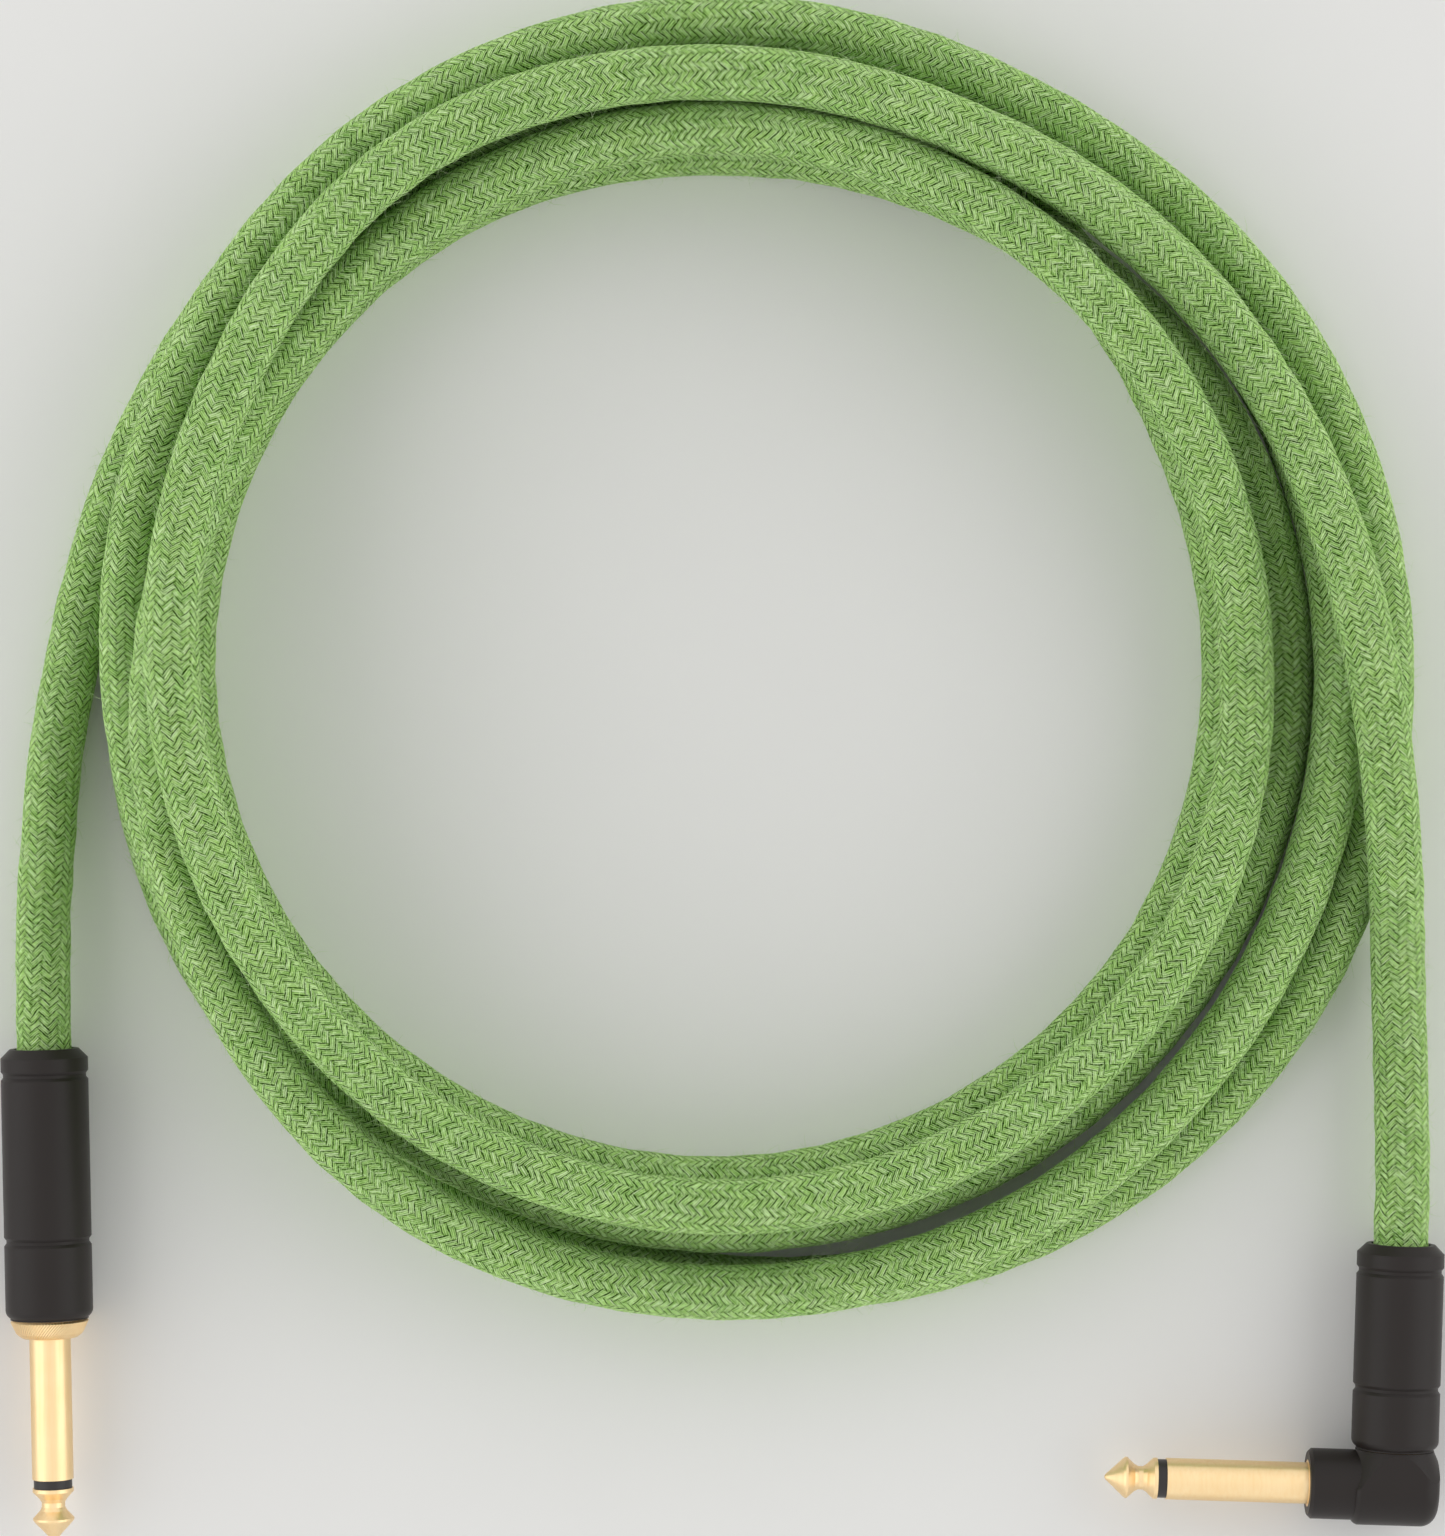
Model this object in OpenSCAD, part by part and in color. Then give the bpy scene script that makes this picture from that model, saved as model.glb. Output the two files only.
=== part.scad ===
// Instrument cable with a woven jacket, a straight plug and a right-angle plug.
// It lies coiled on a flat surface, as it is put away. Millimetres, +Z up.
// The origin is on that surface, midway between the two plugs.
// Each plug is built along its own +Z, from the back face of its housing towards its tip.

/* [Cable] */
// Diameter over the woven jacket
cable_d = 8.3; // [6:0.1:8.3]
// Diameter of the inner jacket under the weave
inner_jacket_d = 6; // [4:0.1:6.4]
// Diameter of the insulation round the centre wire
core_insulation_d = 3; // [2:0.1:3]
// Diameter of the stranded centre wire
core_wire_d = 1; // [0.6:0.1:1.2]
// Diameter of the twisted shield wires
pigtail_d = 1.2; // [0.8:0.1:1.2]

/* [Plug contacts] */
// Diameter of the plug's shaft
shaft_d = 6.35; // [6.2:0.05:6.5]
// Length of the shaft, up to the insulating ring
shaft_l = 21.8; // [20:0.1:24]
// Bore through the shaft
shaft_bore_d = 4.6; // [4:0.1:4.8]
// Length of the insulating ring behind the tip
tip_ring_l = 1.4; // [1:0.1:2]
// Diameter of that ring, a little under the shaft's
tip_ring_d = 5.9; // [5.6:0.1:6]
// Length of the tip contact
tip_l = 8.1; // [7:0.1:9]
// Widest diameter of the tip contact
tip_d = 6.3; // [6:0.05:6.3]
// Diameter of the tip contact's neck
tip_neck_d = 3.6; // [3.2:0.1:4.2]
// Diameter of the centre rod that carries the tip
rod_d = 1.8; // [1.4:0.1:2]

/* [Housings] */
// Outer diameter of both housings
shell_d = 13.4; // [13.2:0.1:15]
// Wall of both housings
shell_wall = 1; // [0.9:0.1:1.1]
// Length of the straight plug's housing
straight_shell_l = 41.6; // [40:0.1:50]
// Length of the angle plug's housing
angle_shell_l = 31.6; // [30:0.1:40]
// Radial room between the cable and the housing's mouth
mouth_room = 0.45; // [0.4:0.05:0.6]
// Length of the housing's mouth
mouth_l = 3; // [2:0.1:4]
// Bevel round the back rim
rim_bevel = 1.4; // [0.8:0.1:1.6]
// Rounding round the front rim
front_round = 1.5; // [0.6:0.1:1.8]
// Width of the decorative grooves
groove_w = 1.4; // [0.8:0.1:2]
// Depth of the decorative grooves
groove_depth = 0.35; // [0.2:0.05:0.5]
// From the back face to the middle of the back groove
back_groove_at = 4.1; // [3.6:0.1:6]
// From the front face to the middle of the straight plug's front groove
straight_front_groove = 12; // [8:0.1:14]
// From the front face to the middle of the angle plug's front groove
angle_front_groove = 9.4; // [6:0.1:12]

/* [Gold flange] */
// Diameter of the flange in front of the straight housing
flange_d = 12; // [11:0.1:13]
// Length of that flange
flange_l = 2.8; // [2:0.1:4]
// Diameter that the flange narrows to at its front
flange_front_d = 9.6; // [8:0.1:10.5]

/* [Elbow] */
// Width of the elbow block along the shaft's line
elbow_w = 13.2; // [12.8:0.1:15]
// Thickness of the elbow block, up and down through the shaft's line
elbow_h = 12.2; // [12:0.1:13.2]
// From the elbow's top to its middle, where the two axes cross
elbow_drop = 5.6; // [5.2:0.1:6.2]
// How fast the block widens from the round end that meets the housing
elbow_flare = 0.44; // [0.3:0.02:0.5]
// Rounding of the block's edges at its outer end
elbow_edge = 2.6; // [1.5:0.1:3]
// Rounding of the block's edges at the collar
collar_side_edge = 1.2; // [0.6:0.1:2]
// Diameter of the collar round the shaft
collar_d = 10.8; // [10.4:0.1:12]
// From the elbow's middle to the collar's face
collar_reach = 13.3; // [12:0.1:16]
// Bevel round the collar's face
collar_bevel = 0.5; // [0.3:0.1:0.8]
// Diameter of the round access cap, in the end away from the shaft
cap_d = 7; // [6:0.1:9]
// Thickness of the access cap
cap_t = 1.2; // [0.8:0.1:1.4]

/* [Threads and fits] */
// Length of the threaded neck inside each housing
neck_l = 8; // [6:0.1:9]
// Wall of the threaded neck
neck_wall = 1.25; // [1.1:0.05:1.4]
// Spacing of the thread's ridges
thread_pitch = 0.8; // [0.5:0.1:1]
// Depth of the thread
thread_depth = 0.25; // [0.15:0.05:0.35]
// Radial room between the thread and the housing's bore
thread_room = 0.05; // [0.03:0.01:0.08]
// Radial room round pieces that are pressed or pushed together
seat_room = 0.03; // [0.02:0.01:0.05]
// Thin seam between a housing and what it screws up against
seam = 0.1; // [0.05:0.05:0.2]

/* [Solder work inside] */
// Thickness of the sheet brass lugs
lug_t = 0.5; // [0.4:0.05:0.6]
// Width of the tip lug's tongue
tongue_w = 2.4; // [1.6:0.1:2.6]
// Length of the straight plug's tip tongue
tongue_l = 8; // [5:0.1:9]
// Length of the clamp that grips the jacket
clamp_l = 4; // [3:0.1:4.5]
// Wall of the clamp and of its arm
clamp_wall = 0.6; // [0.4:0.05:0.6]
// Length of the rubber bush behind the clamp
bush_l = 4; // [3:0.1:4.5]
// Radial room between the inner sleeve and the housing
liner_room = 0.15; // [0.1:0.05:0.2]
// Wall of the inner insulating sleeve
liner_wall = 0.5; // [0.3:0.05:0.55]

/* [Hidden] */
$fn = 64;

// ---- Where things lie on the surface ----
// Back face of each plug, and how far each is turned on the surface
straight_back = [-104.6, 37.9];
straight_turn = 1.2;
angle_back = [104.6, 7.8];
angle_turn = -1.8;
// The plugs lie on their housings, so their axes are half a housing up
axis_h = shell_d / 2;

// ---- The coil ----
// One row for each turn of the coil. A row holds, every 30 degrees, how far the cable lies
// from the coil's middle and how far it is lifted by the turns under it.
coil_middle = [-2.2, 96.7];
coil_step = 30;
turns = [
    [[100.9, 12.8], [94.5, 13], [90, 17.2], [89.8, 14.8], [89.5, 14.4], [83.4, 19],
        [80, 24.6], [79.6, 21.6], [81, 15.2], [82, 14.6], [83.3, 12.8], [83.8, 10.6]],
    [[82.3, 8.6], [81.4, 15.4], [81, 16.4], [81.8, 11], [80.9, 8.4], [80.3, 10.6],
        [83, 15.8], [87.2, 17.2], [93, 13], [95.6, 8.8], [97.1, 8.4], [97.4, 5.4]],
    [[97.2, 5], [95.8, 4.2], [91.5, 9.2], [88.8, 6], [88.5, 3.8], [87.1, 5],
        [89, 1.2], [90.2, 0], [91, 0], [94.8, 0], [100.6, 0], [104.8, 0]],
    [[105, 0], [103.6, 0], [99.3, 5.2], [98.3, 8.8], [95.9, 8.4], [91, 13.2],
        [88.7, 9.2], [87.4, 8.2], [84.7, 6.8], [85.6, 6.4], [87.3, 4.8], [88.6, 3]],
    [[89.5, 0], [86.4, 7.6], [81.5, 7.8], [80.3, 0], [80.8, 0], [80.6, 0],
        [80.4, 0], [79.8, 0], [79.4, 0], [79.8, 0], [80.3, 0], [80.8, 0]],
    [[80.5, 0], [81.5, 0], [87.5, 0], [97.5, 0], [96, 0], [94.2, 0], [98.6, 0]]
];
// Rings of the tube in each 30 degree step: 24 rings in a whole loop
rings_per_step = 2;
coil_sides = 6;

// ---- The free stretches ----
lead_sides = 12;
// Where the coil hands over to each lead, and the way the cable runs there
angle_joint = [102.7, 68.6, 11.7];
angle_heading = [-0.1, 0.97, 0.22];
straight_joint = [-104.1, 69.8, 5];
straight_heading = [-0.06, -0.99, 0.08];
// Points between the coil and each plug, chosen by hand
angle_route = [[103.2, 64, 10.5], [103.6, 59, 9], [103.9, 53, 7.7], [104.2, 46, 6.9],
    [104.5, 36, 6.7], [104.7, 27, 6.7], [104.8, 20, 6.7]];
straight_route = [[-104.6, 61, 6.1], [-104.7, 52, 6.7]];

// ---- Sizes that follow ----
cable_r = cable_d / 2;
// A six-sided tube lies on one of its flats
flat_r = cable_r * cos(30);
shell_r = shell_d / 2;
bore_r = shell_r - shell_wall;
mouth_r = cable_r + mouth_room;
neck_r = bore_r - thread_room;
neck_bore_r = neck_r - neck_wall;
shaft_r = shaft_d / 2;
shaft_bore_r = shaft_bore_d / 2;
rod_r = rod_d / 2;
rod_hole_r = rod_r + seat_room;
clamp_r = cable_r + seat_room;
liner_r = bore_r - liner_room;
liner_bore_r = liner_r - liner_wall;

// Stations along the straight plug
bush_at = mouth_l + seam;
clamp_at = bush_at + bush_l + seam;
jacket_end = clamp_at + clamp_l + seam;
straight_neck_at = straight_shell_l - neck_l;
straight_shaft_at = straight_shell_l + seam + flange_l;
washer_t = 1.5;
straight_washer_at = straight_neck_at + 2;
chamber_end = straight_shell_l + seam;

// Stations along the angle plug
angle_neck_at = angle_shell_l - neck_l;
elbow_top = angle_shell_l + seam;
elbow_at = elbow_top + elbow_drop;
neck_seat_r = neck_r - 0.45;
shank_r = neck_bore_r - 0.8;
// The neck's seat stops short of the hole for the sleeve's shank
neck_seat_l = elbow_drop - shank_r - 0.5;
shank_end = 4.7;
elbow_end_r = elbow_h / 2;
// The solder room reaches this far past the elbow's middle
elbow_room = elbow_end_r - 3;
// Ledge in the elbow that the access cap is pressed against
cap_ledge = 0.8;
angle_washer_t = 1;

// Rivet head that holds a tip lug on the back of the rod
rivet_r = rod_r + 0.5;
rivet_l = 0.4;
lug_ring_r = rod_r + 1.6;
// Half-way through its thickness, the tongue stands this far from the rod's axis
tongue_at = 2.3;
// Sides of the bent wires
wire_sides = 10;
// Small edge break on turned and moulded pieces
edge_break = 0.3;

jacket_green = [0.48, 0.63, 0.36];
housing_black = [0.13, 0.12, 0.11];
plated_gold = [0.93, 0.78, 0.5];
lug_brass = [0.8, 0.68, 0.4];
insulator_black = [0.1, 0.1, 0.1];
insulator_white = [0.92, 0.9, 0.84];
bare_copper = [0.8, 0.47, 0.3];

// ======== Geometry of the cable ========

function unit(v) = v / norm(v);

// The control pair of the coil's curve at a step, held at the ends so that the curve
// runs on towards the leads
way_points = [for (row = turns) for (pair = row) pair];
way_before = [115.5, 3.6];
way_after = [111.8, 3.2];
function way(i) = i < 0 ? way_before : i >= len(way_points) ? way_after : way_points[i];

// Smooth curve through four control pairs, at a share t of the middle step
function smooth(a, b, c, d, t) = 0.5 * (2 * b + (c - a) * t
    + (2 * a - 5 * b + 4 * c - d) * t * t + (3 * b - a - 3 * c + d) * t * t * t);

function coil_pair(i, t) = smooth(way(i - 1), way(i), way(i + 1), way(i + 2), t);
function radius_at(a) = coil_pair(floor(a / coil_step), a / coil_step - floor(a / coil_step))[0];
function lift_at(a) = max(0, coil_pair(floor(a / coil_step), a / coil_step - floor(a / coil_step))[1]);
function coil_point(a) = [
    coil_middle.x + radius_at(a) * cos(a),
    coil_middle.y + radius_at(a) * sin(a),
    flat_r + lift_at(a)
];

// A ring of the tube: its corners stand round a middle, across a sideways and an upward line
function ring(middle, side, up, sides) = [for (k = [0 : sides - 1])
    middle + cable_r * (cos(360 * k / sides) * side + sin(360 * k / sides) * up)];
// The line to the right of a heading, level with the surface
function right_of(heading) = unit([heading.y, -heading.x, 0]);
function square_ring(middle, heading, sides) =
    ring(middle, right_of(heading), cross(right_of(heading), unit(heading)), sides);

coil_angles = [for (a = [0 : coil_step / rings_per_step : coil_step * (len(way_points) - 1)]) a];
straight_end = [straight_joint - cable_d * unit(straight_heading), straight_joint];
angle_end = [angle_joint, angle_joint + cable_d * unit(angle_heading)];
coil_rings = concat(
    [for (p = angle_end) square_ring(p, angle_heading, coil_sides)],
    [for (a = coil_angles) ring(coil_point(a), [cos(a), sin(a), 0], [0, 0, 1], coil_sides)],
    [for (p = straight_end) square_ring(p, straight_heading, coil_sides)]
);

// Least gap between turns. At one angle all turns are six-sided sections in the same upright
// plane, so two of them are apart by the largest of three flat-to-flat distances.
function section_gap(p, q) = max(abs(q[1] - p[1]),
    abs((q[0] - p[0]) * cos(30) + (q[1] - p[1]) / 2),
    abs((q[0] - p[0]) * cos(30) - (q[1] - p[1]) / 2)) - 2 * flat_r;
function section(a) = [radius_at(a), lift_at(a)];
function between(a, t) = (1 - t) * section(a) + t * section(a + coil_step / rings_per_step);
last_angle = coil_angles[len(coil_angles) - 1];
least_gap = min([for (a = [0 : coil_step / rings_per_step : last_angle - 375])
    for (b = [a + 360 : 360 : last_angle - 15]) for (t = [0, 0.5])
        section_gap(between(a, t), between(b, t))]);
echo(least_gap_between_turns_mm = least_gap);

// Sum of the steps between points, as the product of a row of steps and a row of ones
function path_length(points) = [for (i = [1 : len(points) - 1]) norm(points[i] - points[i - 1])]
    * [for (i = [1 : len(points) - 1]) 1];

// A point on a plug's own axis, this far in from its back face
function on_axis(back, turn, u) = [back.x + u * sin(turn), back.y - u * cos(turn), axis_h];
function axis_heading(turn) = [sin(turn), -cos(turn), 0];

straight_lead_points = concat([straight_joint], straight_route,
    [for (u = [-2, jacket_end]) on_axis(straight_back, straight_turn, u)]);
angle_lead_points = concat([angle_joint], angle_route,
    [for (u = [-2, jacket_end]) on_axis(angle_back, angle_turn, u)]);

// The heading at each point of a lead: along the coil at its start, along the plug at its end
function lead_heading(points, i, first, last) = i == 0 ? first
    : i >= len(points) - 2 ? last : unit(points[i + 1] - points[i - 1]);
function lead_rings(points, first, last) = [for (i = [0 : len(points) - 1])
    square_ring(points[i], lead_heading(points, i, first, last), lead_sides)];

echo(coil_length_mm = path_length(concat(angle_end, [for (a = coil_angles) coil_point(a)],
    straight_end)));
echo(lead_lengths_mm = [path_length(straight_lead_points), path_length(angle_lead_points)]);

// One closed tube through a list of rings
module tube_through(rings) {
    sides = len(rings[0]);
    count = len(rings);
    walls = [for (i = [0 : count - 2]) for (k = [0 : sides - 1])
        let (n = (k + 1) % sides, a = i * sides, b = (i + 1) * sides)
            each [[a + k, b + k, b + n], [a + k, b + n, a + n]]];
    first_cap = [for (k = [1 : sides - 2]) [0, k, k + 1]];
    base = (count - 1) * sides;
    last_cap = [for (k = [1 : sides - 2]) [base, base + k + 1, base + k]];
    polyhedron([for (r = rings) each r], concat(walls, first_cap, last_cap), convexity = 10);
}

module cable_coil() {
    color(jacket_green) tube_through(coil_rings);
}

module cable_lead_straight() {
    color(jacket_green)
        tube_through(lead_rings(straight_lead_points, straight_heading,
            axis_heading(straight_turn)));
}

module cable_lead_angle() {
    color(jacket_green)
        tube_through(lead_rings(angle_lead_points, -angle_heading, axis_heading(angle_turn)));
}

// ======== Where the plugs stand ========

module on_straight_plug() {
    translate([straight_back.x, straight_back.y, axis_h]) rotate([90, 0, straight_turn]) children();
}

module on_angle_plug() {
    translate([angle_back.x, angle_back.y, axis_h]) rotate([90, 0, angle_turn]) children();
}

// From the elbow's middle out along the shaft
module on_angle_shaft() {
    on_angle_plug() translate([0, 0, elbow_at]) rotate([0, -90, 0]) children();
}

// ======== Pieces that both plugs have ========

// Points of a quarter round, from an angle to another, in a turned outline
function quarter(middle, r, from, to) = [for (k = [0 : 6])
    middle + r * [cos(from + (to - from) * k / 6), sin(from + (to - from) * k / 6)]];
// Notch of a decorative groove at a height on the outside of a turned piece
function groove(r, at) = [[r, at - groove_w / 2], [r - groove_depth, at - groove_w / 6],
    [r - groove_depth, at + groove_w / 6], [r, at + groove_w / 2]];

// Turned tube from one height to another
module ring_tube(r, bore, from, to) {
    translate([0, 0, from]) difference() {
        cylinder(r = r, h = to - from);
        translate([0, 0, -1]) cylinder(r = bore, h = to - from + 2);
    }
}

// Housing: bevelled back rim with the cable's mouth, two grooves, rounded front rim
module housing(length, front_groove) {
    rotate_extrude() polygon(concat(
        [[mouth_r, 0], [shell_r - rim_bevel, 0], [shell_r, rim_bevel]],
        groove(shell_r, back_groove_at),
        groove(shell_r, length - front_groove),
        quarter([shell_r - front_round, length - front_round], front_round, 0, 60),
        [[bore_r + edge_break, length], [bore_r, length - edge_break],
            [bore_r, mouth_l], [mouth_r, mouth_l]]
    ));
}

// Outline of the thread's ridges from one height to another
function thread_outline(from, to) = [for (z = [from + thread_pitch : thread_pitch : to - thread_pitch])
    each [[neck_r, z - 0.35 * thread_pitch], [neck_r - thread_depth, z],
        [neck_r, z + 0.35 * thread_pitch]]];

// Tip contact: shoulder, waisted neck, bulge and rounded cone, with a blind hole for the rod
module tip_contact(at) {
    tip_r = tip_d / 2;
    waist_r = tip_neck_d / 2;
    nose_r = 0.6;
    translate([0, 0, at]) difference() {
        rotate_extrude() polygon(concat(
            [[0, 0], [tip_r, 0], [tip_r, tip_l * 0.07], [waist_r + 0.35, tip_l * 0.2],
                [waist_r, tip_l * 0.27], [waist_r, tip_l * 0.36], [waist_r + 0.3, tip_l * 0.43],
                [tip_r - 0.3, tip_l * 0.53], [tip_r, tip_l * 0.57], [tip_r, tip_l * 0.61],
                [tip_r - 0.25, tip_l * 0.65]],
            quarter([0, tip_l - nose_r], nose_r, 40, 90)
        ));
        translate([0, 0, -1]) cylinder(r = rod_hole_r, h = 1 + tip_l * 0.4);
    }
}

module tip_ring(at) {
    ring_tube(tip_ring_d / 2, rod_hole_r, at, at + tip_ring_l);
}

// Rod from its riveted back end to its seat in the tip
module centre_rod(from, tip_at) {
    translate([0, 0, from]) cylinder(r = rod_r, h = tip_at + tip_l * 0.4 - seam - from);
    translate([0, 0, from]) cylinder(r = rivet_r, h = rivet_l);
}

module core_insulator(from, to) {
    ring_tube(shaft_bore_r - seat_room, rod_hole_r, from, to);
}

// Brass ground lug: a ring behind the threaded neck, an arm, and the clamp round the jacket
module ground_lug(neck_at) {
    ring_tube(neck_r - 0.4, clamp_r - 1, neck_at - lug_t, neck_at);
    arm_end = neck_at - lug_t;
    intersection() {
        ring_tube(clamp_r + clamp_wall, clamp_r, clamp_at, arm_end);
        translate([-2, -2 * cable_d, clamp_at]) cube([4, 2 * cable_d, arm_end - clamp_at]);
    }
    difference() {
        ring_tube(clamp_r + clamp_wall, clamp_r, clamp_at, clamp_at + clamp_l);
        translate([-1.5, 0, clamp_at - 1]) cube([3, 2 * cable_d, clamp_l + 2]);
    }
}

module liner(to) {
    ring_tube(liner_r, liner_bore_r, jacket_end, to);
}

module strain_bush() {
    ring_tube(liner_r, clamp_r, bush_at, bush_at + bush_l);
}

module plain_round(d, from, to) {
    translate([0, 0, from]) cylinder(d = d, h = to - from);
}

// A wire bent through a few points in one plane, which the line across stands square to
function wire_heading(points, i) =
    unit(points[min(i + 1, len(points) - 1)] - points[max(i - 1, 0)]);
function wire_ring(d, middle, across, up) = [for (k = [0 : wire_sides - 1])
    middle + d / 2 * (cos(360 * k / wire_sides) * across + sin(360 * k / wire_sides) * up)];
module bent_wire(d, across, points) {
    tube_through([for (i = [0 : len(points) - 1])
        wire_ring(d, points[i], across, cross(wire_heading(points, i), across))]);
}

// Shield wires, twisted together and soldered to the ground lug's arm
module shield_pigtail(from, to) {
    arm_y = -(clamp_r - pigtail_d / 2 - seat_room);
    start_y = -(core_insulation_d / 2 + pigtail_d / 2 + 0.1);
    bent_wire(pigtail_d, [1, 0, 0], [[0, start_y, from], [0, start_y, from + 1],
        [0, arm_y, from + 4], [0, arm_y, to]]);
}

// ======== Straight plug ========

inner_jacket_l = 3;
straight_pigtail_l = 9;
straight_insulation_end = straight_neck_at - tongue_l - 1;

module straight_shell() {
    color(housing_black) on_straight_plug() housing(straight_shell_l, straight_front_groove);
}

// Gold sleeve in one turned piece: threaded neck, flange and shaft, hollow all through
module straight_sleeve() {
    flange_end = straight_shaft_at;
    flange_r = flange_d / 2;
    shaft_end = flange_end + shaft_l;
    color(plated_gold) on_straight_plug() rotate_extrude() polygon(concat(
        [[neck_bore_r, straight_neck_at], [neck_r, straight_neck_at]],
        thread_outline(straight_neck_at, straight_shell_l),
        [[neck_r, chamber_end], [flange_r - edge_break, chamber_end],
            [flange_r, chamber_end + edge_break], [flange_r - 0.85, flange_end - 0.75],
            [flange_front_d / 2, flange_end - 0.4], [flange_front_d / 2 - 0.6, flange_end],
            [shaft_r, flange_end], [shaft_r, shaft_end], [shaft_bore_r, shaft_end],
            [shaft_bore_r, chamber_end], [neck_bore_r, chamber_end]]
    ));
}

module straight_tip_ring() {
    color(insulator_black) on_straight_plug() tip_ring(straight_shaft_at + shaft_l);
}

module straight_tip() {
    color(plated_gold) on_straight_plug() tip_contact(straight_shaft_at + shaft_l + tip_ring_l);
}

module straight_centre_rod() {
    color(lug_brass) on_straight_plug()
        centre_rod(straight_washer_at - lug_t - rivet_l,
            straight_shaft_at + shaft_l + tip_ring_l);
}

module straight_core_insulator() {
    color(insulator_white) on_straight_plug()
        core_insulator(straight_washer_at + washer_t, straight_shaft_at + shaft_l);
}

module straight_back_washer() {
    color(insulator_black) on_straight_plug()
        ring_tube(neck_bore_r - seat_room, rod_hole_r, straight_washer_at,
            straight_washer_at + washer_t);
}

// Tip lug: a ring under the rivet, and a tongue bent back along the wire
module straight_tip_lug() {
    color(lug_brass) on_straight_plug() {
        ring_tube(lug_ring_r, rod_hole_r, straight_washer_at - lug_t, straight_washer_at);
        translate([-tongue_w / 2, tongue_at - lug_t / 2, straight_washer_at - tongue_l])
            cube([tongue_w, lug_t, tongue_l - lug_t / 2]);
    }
}

module straight_ground_lug() {
    color(lug_brass) on_straight_plug() ground_lug(straight_neck_at);
}

module straight_insulator_tube() {
    color(insulator_white) on_straight_plug() liner(straight_neck_at - lug_t - seam);
}

module straight_strain_bush() {
    color(insulator_black) on_straight_plug() strain_bush();
}

module straight_inner_jacket() {
    color(insulator_black) on_straight_plug()
        plain_round(inner_jacket_d, jacket_end, jacket_end + inner_jacket_l);
}

module straight_shield_pigtail() {
    from = jacket_end + inner_jacket_l;
    color(bare_copper) on_straight_plug() shield_pigtail(from, from + straight_pigtail_l);
}

module straight_core_insulation() {
    color(insulator_white) on_straight_plug()
        plain_round(core_insulation_d, jacket_end + inner_jacket_l, straight_insulation_end);
}

module straight_core_wire() {
    wire_y = tongue_at - lug_t / 2 - core_wire_d / 2 - seat_room;
    color(bare_copper) on_straight_plug() bent_wire(core_wire_d, [1, 0, 0], [
        [0, 0, straight_insulation_end], [0, 0, straight_insulation_end + 1],
        [0, wire_y, straight_insulation_end + 4], [0, wire_y, straight_insulation_end + 7]]);
}

// ======== Angle plug ========

angle_insulation_end = angle_neck_at + 3;
// The shield wires stop this far short of the ground lug's ring
pigtail_short = 0.8;
shaft_clear = collar_reach + shaft_l;

module angle_shell() {
    color(housing_black) on_angle_plug() housing(angle_shell_l, angle_front_groove);
}

// Outline of the elbow block along the shaft's line, with the collar's side up
module elbow_outline() {
    middle_l = elbow_w - elbow_edge - collar_side_edge;
    outer_r = elbow_end_r - elbow_edge;
    inner_r = elbow_end_r - collar_side_edge;
    translate([-elbow_end_r, elbow_edge - elbow_w / 2]) square([2 * elbow_end_r, middle_l]);
    translate([-outer_r, -elbow_w / 2]) square([2 * outer_r, elbow_w / 2]);
    translate([-inner_r, 0]) square([2 * inner_r, elbow_w / 2]);
    for (side = [-1, 1]) {
        translate([side * outer_r, elbow_edge - elbow_w / 2]) circle(r = elbow_edge);
        translate([side * inner_r, elbow_w / 2 - collar_side_edge]) circle(r = collar_side_edge);
    }
}

// Elbow: block with a collar for the shaft, turned round where the housing screws up against it,
// and hollowed for the solder work
module angle_elbow() {
    block_l = elbow_drop + elbow_end_r;
    top_r = elbow_end_r - 0.1;
    color(housing_black) on_angle_plug() difference() {
        union() {
            intersection() {
                union() {
                    translate([0, 0, elbow_top]) linear_extrude(elbow_drop) rotate(90) elbow_outline();
                    translate([0, 0, elbow_at]) rotate([0, -90, 0]) rotate_extrude() intersection() {
                        elbow_outline();
                        translate([0, -elbow_w]) square([elbow_w, 2 * elbow_w]);
                    }
                }
                translate([0, 0, elbow_top])
                    cylinder(r1 = top_r, r2 = top_r + elbow_flare * block_l, h = block_l);
            }
            translate([0, 0, elbow_at]) rotate([0, -90, 0]) rotate_extrude()
                polygon([[0, 0], [collar_d / 2, 0], [collar_d / 2, collar_reach - collar_bevel],
                    [collar_d / 2 - collar_bevel, collar_reach], [0, collar_reach]]);
        }
        translate([0, 0, elbow_top - 1]) cylinder(r = neck_seat_r + seat_room, h = neck_seat_l + 1);
        translate([0, 0, elbow_top]) cylinder(r = neck_bore_r, h = elbow_drop + elbow_room);
        translate([0, 0, elbow_at]) rotate([0, -90, 0])
            cylinder(r = shank_r + seat_room, h = collar_reach + 1);
        translate([0, 0, elbow_at]) rotate([0, 90, 0]) cylinder(r = cap_d / 2 - cap_ledge, h = elbow_w);
        translate([elbow_w / 2 - cap_t, 0, elbow_at]) rotate([0, 90, 0])
            cylinder(r = cap_d / 2 + seat_room, h = cap_t + 1);
    }
}

// Pressed into the end of the elbow's block, in line with the shaft
module angle_access_cap() {
    color(housing_black) on_angle_plug()
        translate([elbow_w / 2 - cap_t, 0, elbow_at]) rotate([0, 90, 0])
            rotate_extrude() polygon([[0, 0], [cap_d / 2, 0], [cap_d / 2, cap_t - 0.15],
                [cap_d / 2 - 0.15, cap_t], [0, cap_t]]);
}

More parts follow.
